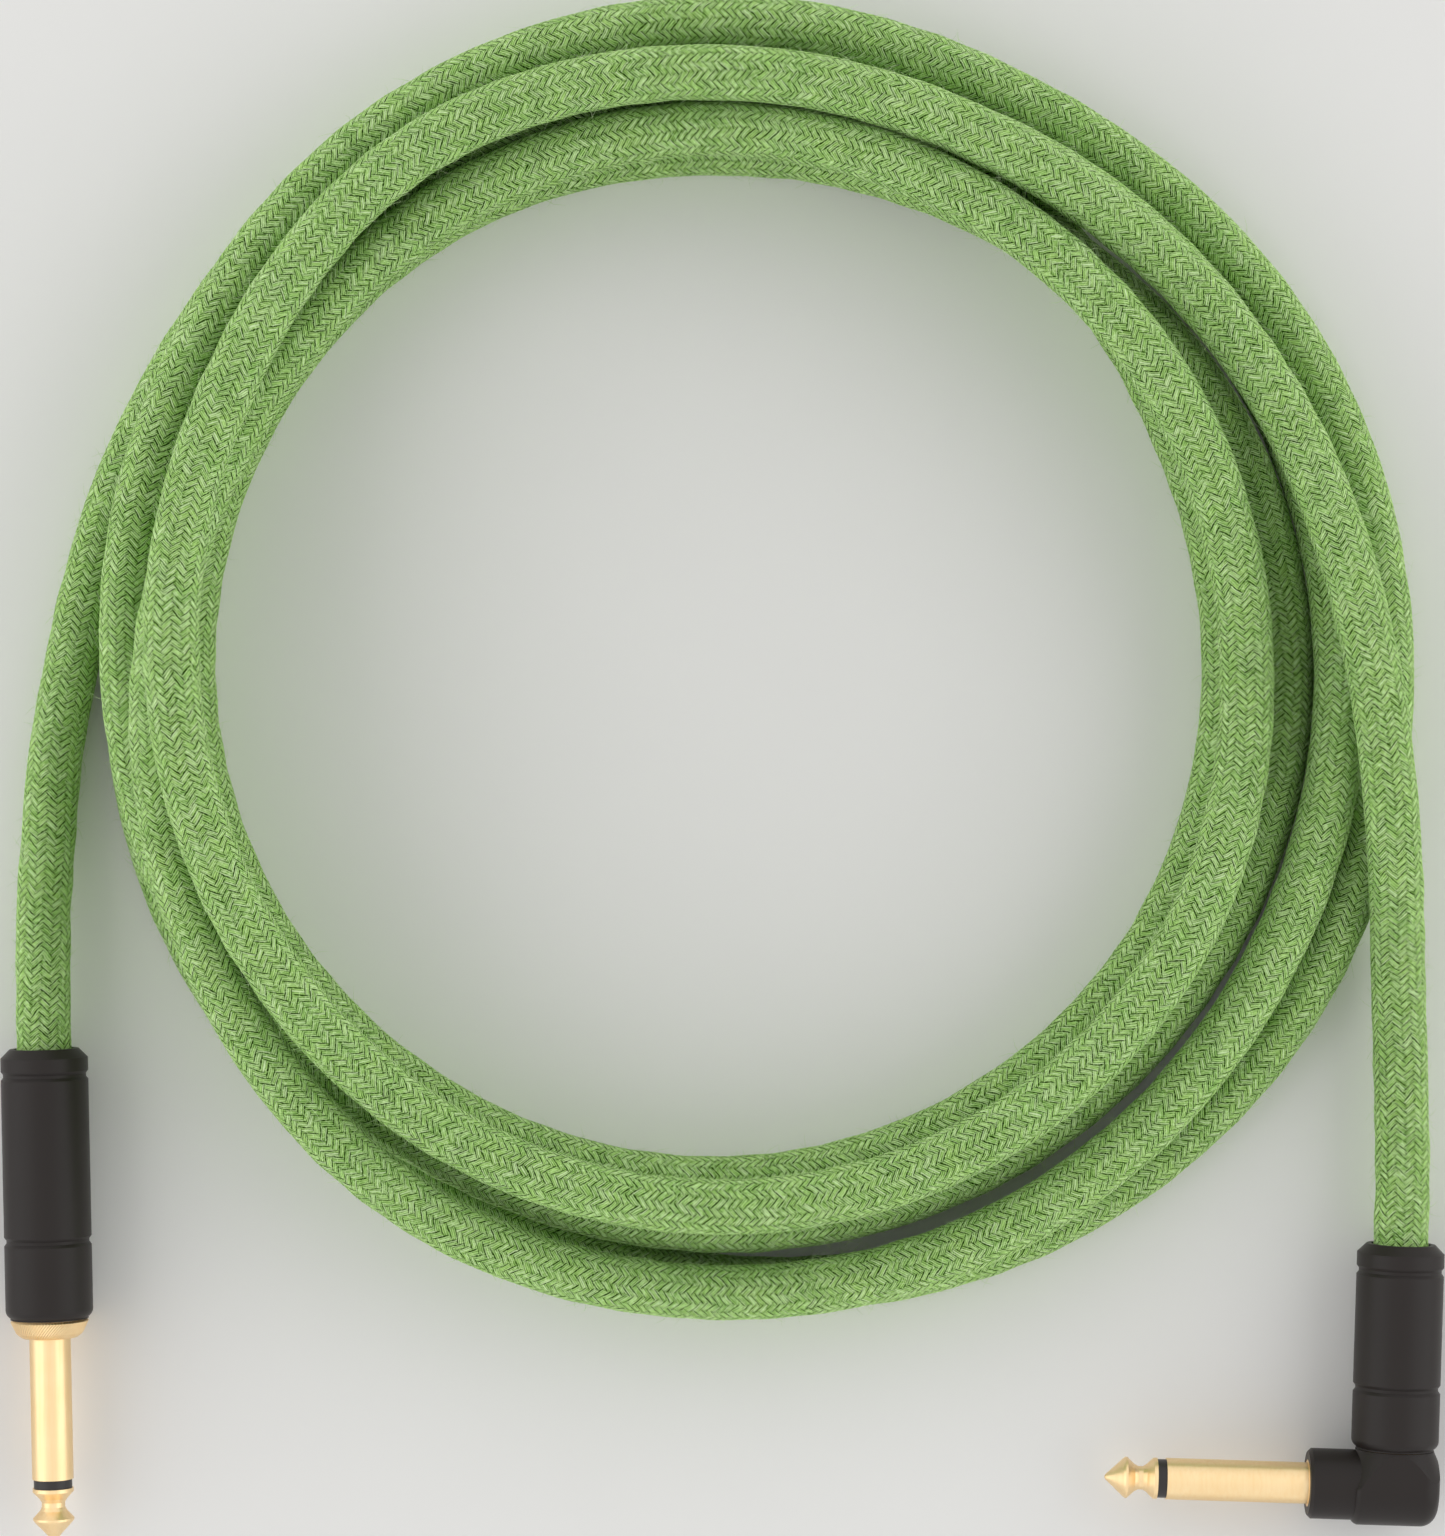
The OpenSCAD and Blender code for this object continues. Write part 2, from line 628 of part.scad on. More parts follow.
// Brass neck: threaded for the housing, with a plain end pressed into the elbow
module angle_threaded_neck() {
    color(plated_gold) on_angle_plug() rotate_extrude() polygon(concat(
        [[neck_bore_r, angle_neck_at], [neck_r, angle_neck_at]],
        thread_outline(angle_neck_at, angle_shell_l),
        [[neck_r, elbow_top], [neck_seat_r, elbow_top], [neck_seat_r, elbow_top + neck_seat_l - seam],
            [neck_bore_r, elbow_top + neck_seat_l - seam]]
    ));
}

// Gold sleeve: shank pressed into the collar, and the shaft
module angle_sleeve() {
    color(plated_gold) on_angle_shaft() difference() {
        union() {
            translate([0, 0, shank_end]) cylinder(r = shank_r, h = collar_reach - shank_end);
            translate([0, 0, collar_reach]) cylinder(r = shaft_r, h = shaft_l);
        }
        translate([0, 0, shank_end - 1]) cylinder(r = shaft_bore_r, h = shaft_clear - shank_end + 2);
    }
}

module angle_tip_ring() {
    color(insulator_black) on_angle_shaft() tip_ring(shaft_clear);
}

module angle_tip() {
    color(plated_gold) on_angle_shaft() tip_contact(shaft_clear + tip_ring_l);
}

module angle_centre_rod() {
    color(lug_brass) on_angle_shaft()
        centre_rod(shank_end - angle_washer_t - lug_t - rivet_l, shaft_clear + tip_ring_l);
}

module angle_core_insulator() {
    color(insulator_white) on_angle_shaft() core_insulator(shank_end, shaft_clear);
}

module angle_back_washer() {
    color(insulator_black) on_angle_shaft()
        ring_tube(shank_r - 0.4, rod_hole_r, shank_end - angle_washer_t, shank_end);
}

// Tip lug: a ring under the rivet, and a straight tongue towards the cable
module angle_tip_lug() {
    color(lug_brass) on_angle_shaft() {
        at = shank_end - angle_washer_t - lug_t;
        ring_tube(lug_ring_r, rod_hole_r, at, at + lug_t);
        translate([-elbow_drop, -tongue_w / 2, at])
            cube([elbow_drop - rod_r - 0.6, tongue_w, lug_t]);
    }
}

module angle_ground_lug() {
    color(lug_brass) on_angle_plug() ground_lug(angle_neck_at);
}

module angle_insulator_tube() {
    color(insulator_white) on_angle_plug() liner(angle_neck_at - lug_t - seam);
}

module angle_strain_bush() {
    color(insulator_black) on_angle_plug() strain_bush();
}

module angle_inner_jacket() {
    color(insulator_black) on_angle_plug()
        plain_round(inner_jacket_d, jacket_end, jacket_end + inner_jacket_l);
}

module angle_shield_pigtail() {
    color(bare_copper) on_angle_plug()
        shield_pigtail(jacket_end + inner_jacket_l, angle_neck_at - lug_t - pigtail_short);
}

module angle_core_insulation() {
    color(insulator_white) on_angle_plug()
        plain_round(core_insulation_d, jacket_end + inner_jacket_l, angle_insulation_end);
}

module angle_core_wire() {
    wire_x = -(shank_end - angle_washer_t - lug_t - core_wire_d / 2 - seat_room);
    color(bare_copper) on_angle_plug() bent_wire(core_wire_d, [0, 1, 0], [
        [0, 0, angle_insulation_end], [0, 0, angle_insulation_end + 1],
        [wire_x, 0, angle_insulation_end + 4], [wire_x, 0, elbow_top + 1.5]]);
}

cable_coil();
cable_lead_straight();
cable_lead_angle();
straight_shell();
straight_sleeve();
straight_tip_ring();
straight_tip();
straight_centre_rod();
straight_core_insulator();
straight_back_washer();
straight_tip_lug();
straight_ground_lug();
straight_insulator_tube();
straight_strain_bush();
straight_inner_jacket();
straight_shield_pigtail();
straight_core_insulation();
straight_core_wire();
angle_shell();
angle_elbow();
angle_access_cap();
angle_threaded_neck();
angle_sleeve();
angle_tip_ring();
angle_tip();
angle_centre_rod();
angle_core_insulator();
angle_back_washer();
angle_tip_lug();
angle_ground_lug();
angle_insulator_tube();
angle_strain_bush();
angle_inner_jacket();
angle_shield_pigtail();
angle_core_insulation();
angle_core_wire();
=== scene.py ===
"""Looks of a coiled instrument cable: a woven jacket, two plugs with gold contacts, matte housings."""

import functools
import math

import bpy
import numpy as np
from bpy.props import FloatProperty, FloatVectorProperty, IntProperty, PointerProperty
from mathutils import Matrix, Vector


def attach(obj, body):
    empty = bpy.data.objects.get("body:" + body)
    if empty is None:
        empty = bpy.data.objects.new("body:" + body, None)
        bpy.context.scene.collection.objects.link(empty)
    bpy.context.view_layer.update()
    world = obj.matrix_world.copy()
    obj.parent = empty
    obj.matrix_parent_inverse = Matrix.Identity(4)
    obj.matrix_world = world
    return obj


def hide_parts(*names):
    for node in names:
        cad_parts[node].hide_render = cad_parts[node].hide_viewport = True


bl_info = {
    "name": "Instrument cable looks",
    "version": (1, 0, 0),
    "blender": (4, 5, 0),
    "location": "3D View > Sidebar > Cable",
    "description": "Weaves the jacket and finishes the plugs of a coiled instrument cable",
    "category": "Add Mesh",
}

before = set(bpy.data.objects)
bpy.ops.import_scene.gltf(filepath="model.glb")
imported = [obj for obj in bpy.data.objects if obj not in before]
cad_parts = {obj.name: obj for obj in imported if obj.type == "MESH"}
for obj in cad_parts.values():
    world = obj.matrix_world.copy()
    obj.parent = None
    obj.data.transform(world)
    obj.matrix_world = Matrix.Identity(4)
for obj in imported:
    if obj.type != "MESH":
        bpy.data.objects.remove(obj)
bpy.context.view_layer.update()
BODY = "cable_and_plugs"
RNG_SEED = 11

# ---- The cable's route, the same points as in the part's source, in metres ----
CABLE_D = 0.0083
# A plug's axis lies this high, its housing's radius, and the jacket starts this far inside the housing
SHELL_R = 0.0067
JACKET_END = 0.0113
# Middle of each housing's back face, and the turn of its plug
STRAIGHT_BACK = (-0.1046, 0.0379)
STRAIGHT_TURN = math.radians(1.2)
ANGLE_BACK = (0.1046, 0.0078)
ANGLE_TURN = math.radians(-1.8)
COIL_MIDDLE = (-0.0022, 0.0967)
COIL_STEP = math.radians(30)
# How far the cable lies from the coil's middle, and its lift, every 30 degrees: one block a turn
TURNS = [
    (0.1009, 0.0128), (0.0945, 0.013), (0.09, 0.0172), (0.0898, 0.0148), (0.0895, 0.0144),
    (0.0834, 0.019), (0.08, 0.0246), (0.0796, 0.0216), (0.081, 0.0152), (0.082, 0.0146),
    (0.0833, 0.0128), (0.0838, 0.0106),
    (0.0823, 0.0086), (0.0814, 0.0154), (0.081, 0.0164), (0.0818, 0.011), (0.0809, 0.0084),
    (0.0803, 0.0106), (0.083, 0.0158), (0.0872, 0.0172), (0.093, 0.013), (0.0956, 0.0088),
    (0.0971, 0.0084), (0.0974, 0.0054),
    (0.0972, 0.005), (0.0958, 0.0042), (0.0915, 0.0092), (0.0888, 0.006), (0.0885, 0.0038),
    (0.0871, 0.005), (0.089, 0.0012), (0.0902, 0), (0.091, 0), (0.0948, 0), (0.1006, 0), (0.1048, 0),
    (0.105, 0), (0.1036, 0), (0.0993, 0.0052), (0.0983, 0.0088), (0.0959, 0.0084), (0.091, 0.0132),
    (0.0887, 0.0092), (0.0874, 0.0082), (0.0847, 0.0068), (0.0856, 0.0064), (0.0873, 0.0048),
    (0.0886, 0.003),
    (0.0895, 0), (0.0864, 0.0076), (0.0815, 0.0078), (0.0803, 0), (0.0808, 0), (0.0806, 0),
    (0.0804, 0), (0.0798, 0), (0.0794, 0), (0.0798, 0), (0.0803, 0), (0.0808, 0),
    (0.0805, 0), (0.0815, 0), (0.0875, 0), (0.0975, 0), (0.096, 0), (0.0942, 0), (0.0986, 0),
]
# The next distance and lift before and after the turns, which only steer the curve at its ends
WAY_BEFORE = (0.1155, 0.0036)
WAY_AFTER = (0.1118, 0.0032)
# Where each lead meets the coil and the coil's heading there, and then the lead's points to its plug
ANGLE_JOINT = (0.1027, 0.0686, 0.0117)
ANGLE_HEADING = (-0.1, 0.97, 0.22)
STRAIGHT_JOINT = (-0.1041, 0.0698, 0.005)
STRAIGHT_HEADING = (-0.06, -0.99, 0.08)
ANGLE_ROUTE = [
    (0.1032, 0.064, 0.0105), (0.1036, 0.059, 0.009), (0.1039, 0.053, 0.0077),
    (0.1042, 0.046, 0.0069), (0.1045, 0.036, 0.0067), (0.1047, 0.027, 0.0067), (0.1048, 0.02, 0.0067),
]
STRAIGHT_ROUTE = [(-0.1046, 0.061, 0.0061), (-0.1047, 0.052, 0.0067)]
# A lead's last point before its plug, this far outside the housing's mouth
MOUTH_LEAD = 0.002
# The packed coil is a tube whose turns lie on its flats, this far apart. The turns of a round cable
# lie a diameter apart, so every lift grows by this share
FLAT_R = CABLE_D / 2 * math.cos(math.radians(30))
PACKED_STACK = 2 * FLAT_R + 0.00044
LIFT_SHARE = CABLE_D / PACKED_STACK
# From here to the plugs, along y, a lead lies as high as its plug's axis
LEVEL_AT = 0.05
# The jacket flattens by this much where it rests on the surface
REST_SQUASH = 0.00015


def srgb(red, green, blue):
    """A colour of 0 to 255 a channel as shader values."""
    channels = [c / 255 for c in (red, green, blue)]
    return tuple(c / 12.92 if c < 0.04045 else ((c + 0.055) / 1.055) ** 2.4 for c in channels)


# ======== Settings that a user would change ========


class JacketSettings(bpy.types.PropertyGroup):
    """Woven jacket of the cable."""

    diameter: FloatProperty(
        name="Diameter", description="Diameter over the weave",
        default=CABLE_D, min=0.004, max=0.02, unit="LENGTH")
    columns: IntProperty(
        name="Columns", description="Columns of stitches round the cable, an even number",
        default=18, min=8, max=40)
    pitch: FloatProperty(
        name="Stitch pitch", description="Length of one stitch along the cable",
        default=0.00124, min=0.0005, max=0.005, unit="LENGTH")
    relief: FloatProperty(
        name="Relief", description="Height of a stitch over the gaps between stitches",
        default=0.00028, min=0, max=0.001, unit="LENGTH")
    yarns: IntProperty(
        name="Yarns", description="Yarns side by side in one stitch",
        default=3, min=1, max=6)
    thread: FloatVectorProperty(
        name="Thread", description="Colour of the stitches",
        default=srgb(188, 226, 130), min=0, max=1, subtype="COLOR")
    cool_thread: FloatVectorProperty(
        name="Cool thread", description="Colour of the stitches in bluer stretches",
        default=srgb(172, 219, 130), min=0, max=1, subtype="COLOR")
    pale_thread: FloatVectorProperty(
        name="Pale thread", description="Colour of the palest yarns",
        default=srgb(218, 243, 186), min=0, max=1, subtype="COLOR")
    # The colour between the stitches is painted shade in the slits
    gap: FloatVectorProperty(
        name="Gap", description="Colour between the stitches",
        default=srgb(32, 62, 0), min=0, max=1, subtype="COLOR")
    fibres: IntProperty(
        name="Loose fibres", description="Number of fibres that stand off the weave",
        default=16600, min=0, max=40000)


class HousingSettings(bpy.types.PropertyGroup):
    """Matte housings and elbow."""

    coating: FloatVectorProperty(
        name="Coating", description="Colour of the matte coating",
        default=srgb(38, 33, 31), min=0, max=1, subtype="COLOR")
    roughness: FloatProperty(
        name="Roughness", description="Roughness of the coating",
        default=0.42, min=0, max=1, subtype="FACTOR")


class ContactSettings(bpy.types.PropertyGroup):
    """Gold plated contacts and the ring between them."""

    gold: FloatVectorProperty(
        name="Gold", description="Colour of the plating",
        default=srgb(252, 226, 180), min=0, max=1, subtype="COLOR")
    roughness: FloatProperty(
        name="Roughness", description="Roughness of the plating",
        default=0.36, min=0, max=1, subtype="FACTOR")


class StageSettings(bpy.types.PropertyGroup):
    """Camera, floor and light."""

    camera_height: FloatProperty(
        name="Camera height", description="Height of the camera over the surface",
        default=0.76, min=0.3, max=3, unit="LENGTH")
    camera_y: FloatProperty(
        name="Camera place", description="The camera's place in front of the origin",
        default=0.08115, unit="LENGTH")
    view_half: FloatProperty(
        name="Half view", description="Half of the long side of the view, on the surface",
        default=0.11944, min=0.05, max=1, unit="LENGTH")
    floor: FloatVectorProperty(
        name="Floor", description="Colour of the floor",
        default=srgb(250, 249, 247), min=0, max=1, subtype="COLOR")
    side_light: FloatProperty(
        name="Side lights", description="Power of the large light on each side",
        default=3.1, min=0, max=200, unit="POWER")
    top_light: FloatProperty(
        name="Top light", description="Power of the large light above",
        default=0.7, min=0, max=200, unit="POWER")
    low_light: FloatProperty(
        name="Low light", description="Strength of the even light from low down, all round",
        default=2.0, min=0, max=3)
    high_light: FloatProperty(
        name="High light", description="Strength of the even light from straight above",
        default=0.0, min=0, max=3)


SETTINGS = {
    "cable_jacket": JacketSettings,
    "cable_housing": HousingSettings,
    "cable_contacts": ContactSettings,
    "cable_stage": StageSettings,
}

# ======== Node helpers ========

# A contour's line runs where the noise is a half. It is full and has ended at these differences
CONTOUR_WIDTH = (0.004, 0.02)


class Nodes:
    """Adds nodes to a material or a world, a call for each node."""

    def __init__(self, owner, shader="Principled BSDF"):
        owner.use_nodes = True
        self.owner = owner
        self.tree = owner.node_tree
        self.shader = self.tree.nodes[shader]

    def put(self, socket, value):
        """Links a socket to a socket, or sets it to a value."""
        if isinstance(value, bpy.types.NodeSocket):
            self.tree.links.new(value, socket)
        else:
            socket.default_value = value

    def add(self, kind, inputs, output=0, **settings):
        """A node with these inputs, by name or number, and settings; gives one of its outputs."""
        node = self.tree.nodes.new(kind)
        for key, value in settings.items():
            setattr(node, key, value)
        for key, value in inputs.items():
            self.put(node.inputs[key], value)
        return node.outputs[output]

    def math(self, operation, *values):
        """One operation, by its name, on numbers or sockets."""
        return self.add("ShaderNodeMath", dict(enumerate(values)), operation=operation)

    def total(self, *values):
        """All values added together."""
        return functools.reduce(lambda a, b: self.math("ADD", a, b), values)

    def product(self, *values):
        """All values multiplied together."""
        return functools.reduce(lambda a, b: self.math("MULTIPLY", a, b), values)

    def between(self, share, at_0, at_1):
        """The number that lies this share of the way from one plain number to another."""
        return self.math("MULTIPLY_ADD", share, at_1 - at_0, at_0)

    def mix(self, share, low, high):
        """Number between two sockets' numbers."""
        return self.add("ShaderNodeMix", {0: share, 2: low, 3: high}, data_type="FLOAT")

    def blend(self, share, low, high):
        """Colour between two others."""
        low, high = [c if isinstance(c, bpy.types.NodeSocket) else (*c, 1) for c in (low, high)]
        return self.add("ShaderNodeMix", {0: share, 6: low, 7: high}, 2, data_type="RGBA")

    def vector(self, x, y, z):
        """A place from its three numbers."""
        return self.add("ShaderNodeCombineXYZ", {0: x, 1: y, 2: z})

    def parts(self, vector):
        """The three numbers of a place or a colour."""
        node = self.tree.nodes.new("ShaderNodeSeparateXYZ")
        self.put(node.inputs[0], vector)
        return list(node.outputs)

    def from_middle(self, share):
        """0 half-way along a share of 0 to 1, and 1 at either end."""
        return self.math("ABSOLUTE", self.math("MULTIPLY_ADD", share, 2.0, -1.0))

    def ramp(self, value, at_0, at_1):
        """0 up to one value, 1 from the other on, and smooth between them."""
        inputs = {0: value, 1: at_0, 2: at_1}
        return self.add("ShaderNodeMapRange", inputs, interpolation_type="SMOOTHSTEP")

    def noise(self, vector, scale, detail=2.0, roughness=0.5):
        """Cloudy pattern of 0 to 1, mostly near a half."""
        inputs = {"Vector": vector, "Scale": scale, "Detail": detail, "Roughness": roughness}
        return self.add("ShaderNodeTexNoise", inputs)

    def contour(self, vector, scale, place):
        """0 on thin winding lines, 1 between them."""
        inputs = {"Vector": vector, "W": place, "Scale": scale, "Detail": 1.0}
        height = self.add("ShaderNodeTexNoise", inputs, noise_dimensions="4D")
        return self.ramp(self.math("ABSOLUTE", self.math("SUBTRACT", height, 0.5)), *CONTOUR_WIDTH)

    def stretched(self, x, y, z):
        """Places on the piece, stretched by a factor on each axis."""
        place = self.add("ShaderNodeTexCoord", {}, "Object")
        return self.add("ShaderNodeVectorMath", {0: place, 1: (x, y, z)}, operation="MULTIPLY")

    def bump(self, height, distance, normal=None):
        """The surface's direction where a height is raised by a distance, over another bump if given."""
        inputs = {"Height": height, "Distance": distance, "Strength": 1.0}
        if normal is not None:
            inputs["Normal"] = normal
        return self.add("ShaderNodeBump", inputs)

    def finish(self, **sockets):
        """Sets the shader's own sockets, where an underscore stands for a space."""
        for key, value in sockets.items():
            if isinstance(value, tuple) and len(value) == 3:
                value = (*value, 1)
            self.put(self.shader.inputs[key.replace("_", " ")], value)
        return self.owner


def new_material(name):
    """An empty material, ready for its nodes."""
    return Nodes(bpy.data.materials.new(name))


def dress(node_name, material):
    """Gives a packed piece its material."""
    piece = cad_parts[node_name]
    piece.data.materials.clear()
    piece.data.materials.append(material)


def new_piece(name, points, faces, material):
    """A smooth mesh object from points and faces."""
    mesh = bpy.data.meshes.new(name)
    mesh.from_pydata([tuple(p) for p in points], [], faces)
    mesh.polygons.foreach_set("use_smooth", [True] * len(mesh.polygons))
    mesh.materials.append(material)
    mesh.update()
    piece = bpy.data.objects.new(name, mesh)
    bpy.context.scene.collection.objects.link(piece)
    return piece


# ======== The cable's centre line ========

# Steps that the smooth curve's length is summed over
FINE_STEPS = 40000


def coil_way(step):
    """Radius and lift at a count of steps, held at the ends by the points before and after."""
    if step < 0:
        return WAY_BEFORE
    return TURNS[step] if step < len(TURNS) else WAY_AFTER


def coil_point(turned):
    """Centre of the cable, this many steps of 30 degrees round the coil."""
    step = math.floor(turned)
    t = turned - step
    # A Catmull-Rom curve through the four points about this place
    a, b, c, d = [np.array(coil_way(step + k)) for k in (-1, 0, 1, 2)]
    radius, lift = 0.5 * (2 * b + (c - a) * t + (2 * a - 5 * b + 4 * c - d) * t**2
                          + (3 * b - a - 3 * c + d) * t**3)
    angle = turned * COIL_STEP
    return (COIL_MIDDLE[0] + radius * math.cos(angle), COIL_MIDDLE[1] + radius * math.sin(angle),
            round_height(FLAT_R + max(0.0, lift)))


def round_height(packed_height):
    """Height of a round cable's centre where the packed tube's centre is at a height."""
    return CABLE_D / 2 - REST_SQUASH + (packed_height - FLAT_R) * LIFT_SHARE


def on_axis(back, turn, inward):
    """Point on a plug's axis, this far in from its back face."""
    return (back[0] + inward * math.sin(turn), back[1] - inward * math.cos(turn), SHELL_R)


def lead_points(joint, route, back, turn):
    """From the coil to inside a plug. The lead comes down from the round coil's height."""
    points = [joint, *route, on_axis(back, turn, -MOUTH_LEAD)]
    low = []
    for x, y, z in points:
        share = max(0.0, (y - LEVEL_AT) / (joint[1] - LEVEL_AT))
        low.append((x, y, (1 - share) * z + share * round_height(z)))
    inner = [on_axis(back, turn, JACKET_END * k / 3) for k in (1, 2, 3)]
    return low + inner


def end_straight(joint, heading, sign):
    """Where the wound part meets the coil's straight end, a diameter long, at the round coil's height."""
    place = Vector(joint) + sign * CABLE_D * Vector(heading).normalized()
    return (place.x, place.y, round_height(place.z))


def knots():
    """The points that the cable runs through, from inside the angle plug to inside the straight one."""
    angle_lead = lead_points(ANGLE_JOINT, ANGLE_ROUTE, ANGLE_BACK, ANGLE_TURN)
    straight_lead = lead_points(STRAIGHT_JOINT, STRAIGHT_ROUTE, STRAIGHT_BACK, STRAIGHT_TURN)
    coil = [coil_point(k / 2) for k in range(2 * (len(TURNS) - 1) + 1)]
    return np.array([
        *reversed(angle_lead), end_straight(ANGLE_JOINT, ANGLE_HEADING, 1), *coil,
        end_straight(STRAIGHT_JOINT, STRAIGHT_HEADING, -1), *straight_lead,
    ])


def smooth_line(points, spacing):
    """Points at even steps along the smooth curve (a cubic spline) through some points."""
    chord = np.linalg.norm(np.diff(points, axis=0), axis=1)
    at = np.concatenate([[0], np.cumsum(chord)])
    count = len(points)
    system, right = np.zeros((count, count)), np.zeros((count, 3))
    system[0, 0] = system[-1, -1] = 1
    for i in range(1, count - 1):
        system[i, i - 1:i + 2] = chord[i - 1], 2 * (chord[i - 1] + chord[i]), chord[i]
        right[i] = 6 * ((points[i + 1] - points[i]) / chord[i] - (points[i] - points[i - 1]) / chord[i - 1])
    curved = np.linalg.solve(system, right)

    def at_place(s):
        i = np.clip(np.searchsorted(at, s, side="right") - 1, 0, count - 2)
        h, low, high = chord[i][:, None], (at[i + 1] - s)[:, None], (s - at[i])[:, None]
        return (curved[i] * low**3 / (6 * h) + curved[i + 1] * high**3 / (6 * h)
                + (points[i] / h - curved[i] * h / 6) * low
                + (points[i + 1] / h - curved[i + 1] * h / 6) * high)

    fine = np.linspace(0, at[-1], FINE_STEPS)
    gone = np.linalg.norm(np.diff(at_place(fine), axis=0), axis=1)
    length = np.concatenate([[0], np.cumsum(gone)])
    steps = np.linspace(0, length[-1], max(2, round(length[-1] / spacing)) + 1)
    return at_place(np.interp(steps, length, fine)), length[-1]


def sweep_frames(line):
    """Heading, side and up at each point of a line, turning no more than the line does."""
    heading = np.gradient(line, axis=0)
    heading /= np.linalg.norm(heading, axis=1)[:, None]
    side = np.zeros_like(line)
    first = np.cross(heading[0], (0, 0, 1))
    side[0] = first / np.linalg.norm(first)
    for i in range(1, len(line)):
        moved = side[i - 1] - heading[i] * (side[i - 1] @ heading[i])
        side[i] = moved / np.linalg.norm(moved)
    return heading, side, np.cross(side, heading)


# ======== Woven jacket ========

# Depth of the groove between two bundles side by side, and of a bundle's ends where it dives
GROOVE_DEPTH = 0.45
DIVE_DEPTH = 0.25
# How late the groove and the dive start: the higher, the flatter is the stitch's middle
GROOVE_POWER = 3
DIVE_POWER = 5
# Height of the weave that lies at the jacket's nominal radius
NOMINAL_HEIGHT = 0.8
# The mesh has this many faces to a column and to a stitch
FACES_PER_STITCH = 4
# Slow waves that make the weave uneven, each as (size, number of waves, length in stitches): the
# columns' turn about the cable, where the columns and stitches lie, and the swelling in metres
TWIST = (0.35, 6, 60)
COLUMN_DRIFT = (0.07, 12, 4)
STITCH_DRIFT = (0.12, 14, 5)
SWELLING = (0.00006, 8, 9)
# A wave goes round the cable up to this many times, and its length is divided by a number in a range
WAVE_TURNS = 3
WAVE_PACE = (0.4, 1.6)
# Rows that the jacket's map for baking is cut into, and the margin round each
MAP_ROWS = 11
MAP_MARGIN = 0.0015


def fraction(values):
    """What is left of each value over a whole number."""
    return values - np.floor(values)


def weave_height(column, stitch):
    """Height of the weave, 0 to 1. Bundles run both ways, each over two others and then under two."""
    rising, falling = stitch - column, stitch + column
    step = np.mod(np.floor(rising) - np.floor(falling), 4)
    on_top = (step == 0) | (step == 3)
    across = np.where(on_top, rising, falling)
    along = np.where(on_top, falling, rising)
    run = (fraction(along) + (step >= 2)) / 2
    side, end = np.abs(2 * fraction(across) - 1), np.abs(2 * run - 1)
    return 1 - GROOVE_DEPTH * side**GROOVE_POWER - DIVE_DEPTH * end**DIVE_POWER


def soft_waves(rng, along, around, size, count, length):
    """Sum of slow waves over the jacket, of about a size either way, which meets itself at the seam."""
    total = np.zeros(np.broadcast(along, around).shape)
    for _ in range(count):
        turns = rng.integers(-WAVE_TURNS, WAVE_TURNS + 1)
        pace = rng.uniform(*WAVE_PACE) / length
        total += np.sin(2 * np.pi * (turns * around + pace * along) + rng.uniform(0, 2 * np.pi))
    return size * (total / math.sqrt(count))


def jacket_mesh(settings, line):
    """The jacket as one closed tube with each stitch raised, and its two maps: weave and baking."""
    columns, rings = settings.columns, len(line)
    sides = columns * FACES_PER_STITCH
    rng = np.random.default_rng(RNG_SEED)
    _, side, up = sweep_frames(line)
    around = np.arange(sides + 1)[None, :] / sides
    along = np.arange(rings)[:, None] / FACES_PER_STITCH
    twist = soft_waves(rng, along, 0 * around, *TWIST)
    column = around * columns + soft_waves(rng, along, around, *COLUMN_DRIFT) + twist
    stitch = along + soft_waves(rng, along, around, *STITCH_DRIFT)
    rise = weave_height(column, stitch) - NOMINAL_HEIGHT
    swell = soft_waves(rng, along, around, *SWELLING)
    radius = (settings.diameter / 2 + settings.relief * rise + swell)[:, :sides]
    angle = 2 * np.pi * around[:, :sides]
    points = (line[:, None, :] + (radius * np.cos(angle))[..., None] * side[:, None, :]
              + (radius * np.sin(angle))[..., None] * up[:, None, :]).reshape(-1, 3)
    points[:, 2] = np.maximum(points[:, 2], 0)

    ring, step = np.meshgrid(np.arange(rings - 1), np.arange(sides), indexing="ij")
    mesh = closed_tube("woven_jacket", points, ring, step)
    corner_ring = np.stack([ring, ring + 1, ring + 1, ring], axis=-1).reshape(-1)
    corner_step = np.stack([step, step, step + 1, step + 1], axis=-1).reshape(-1)
    fill_map(mesh, "weave", column[corner_ring, corner_step], stitch[corner_ring, corner_step])

    row_rings = math.ceil((rings - 1) / MAP_ROWS)
    row = np.repeat(np.minimum(ring // row_rings, MAP_ROWS - 1).reshape(-1), 4)
    across = MAP_MARGIN + (corner_ring - row * row_rings) / row_rings * (1 - 2 * MAP_MARGIN)
    margin = MAP_ROWS * MAP_MARGIN
    down = (row + margin + corner_step / sides * (1 - 2 * margin)) / MAP_ROWS
    fill_map(mesh, "OFBake", across, down)
    return mesh


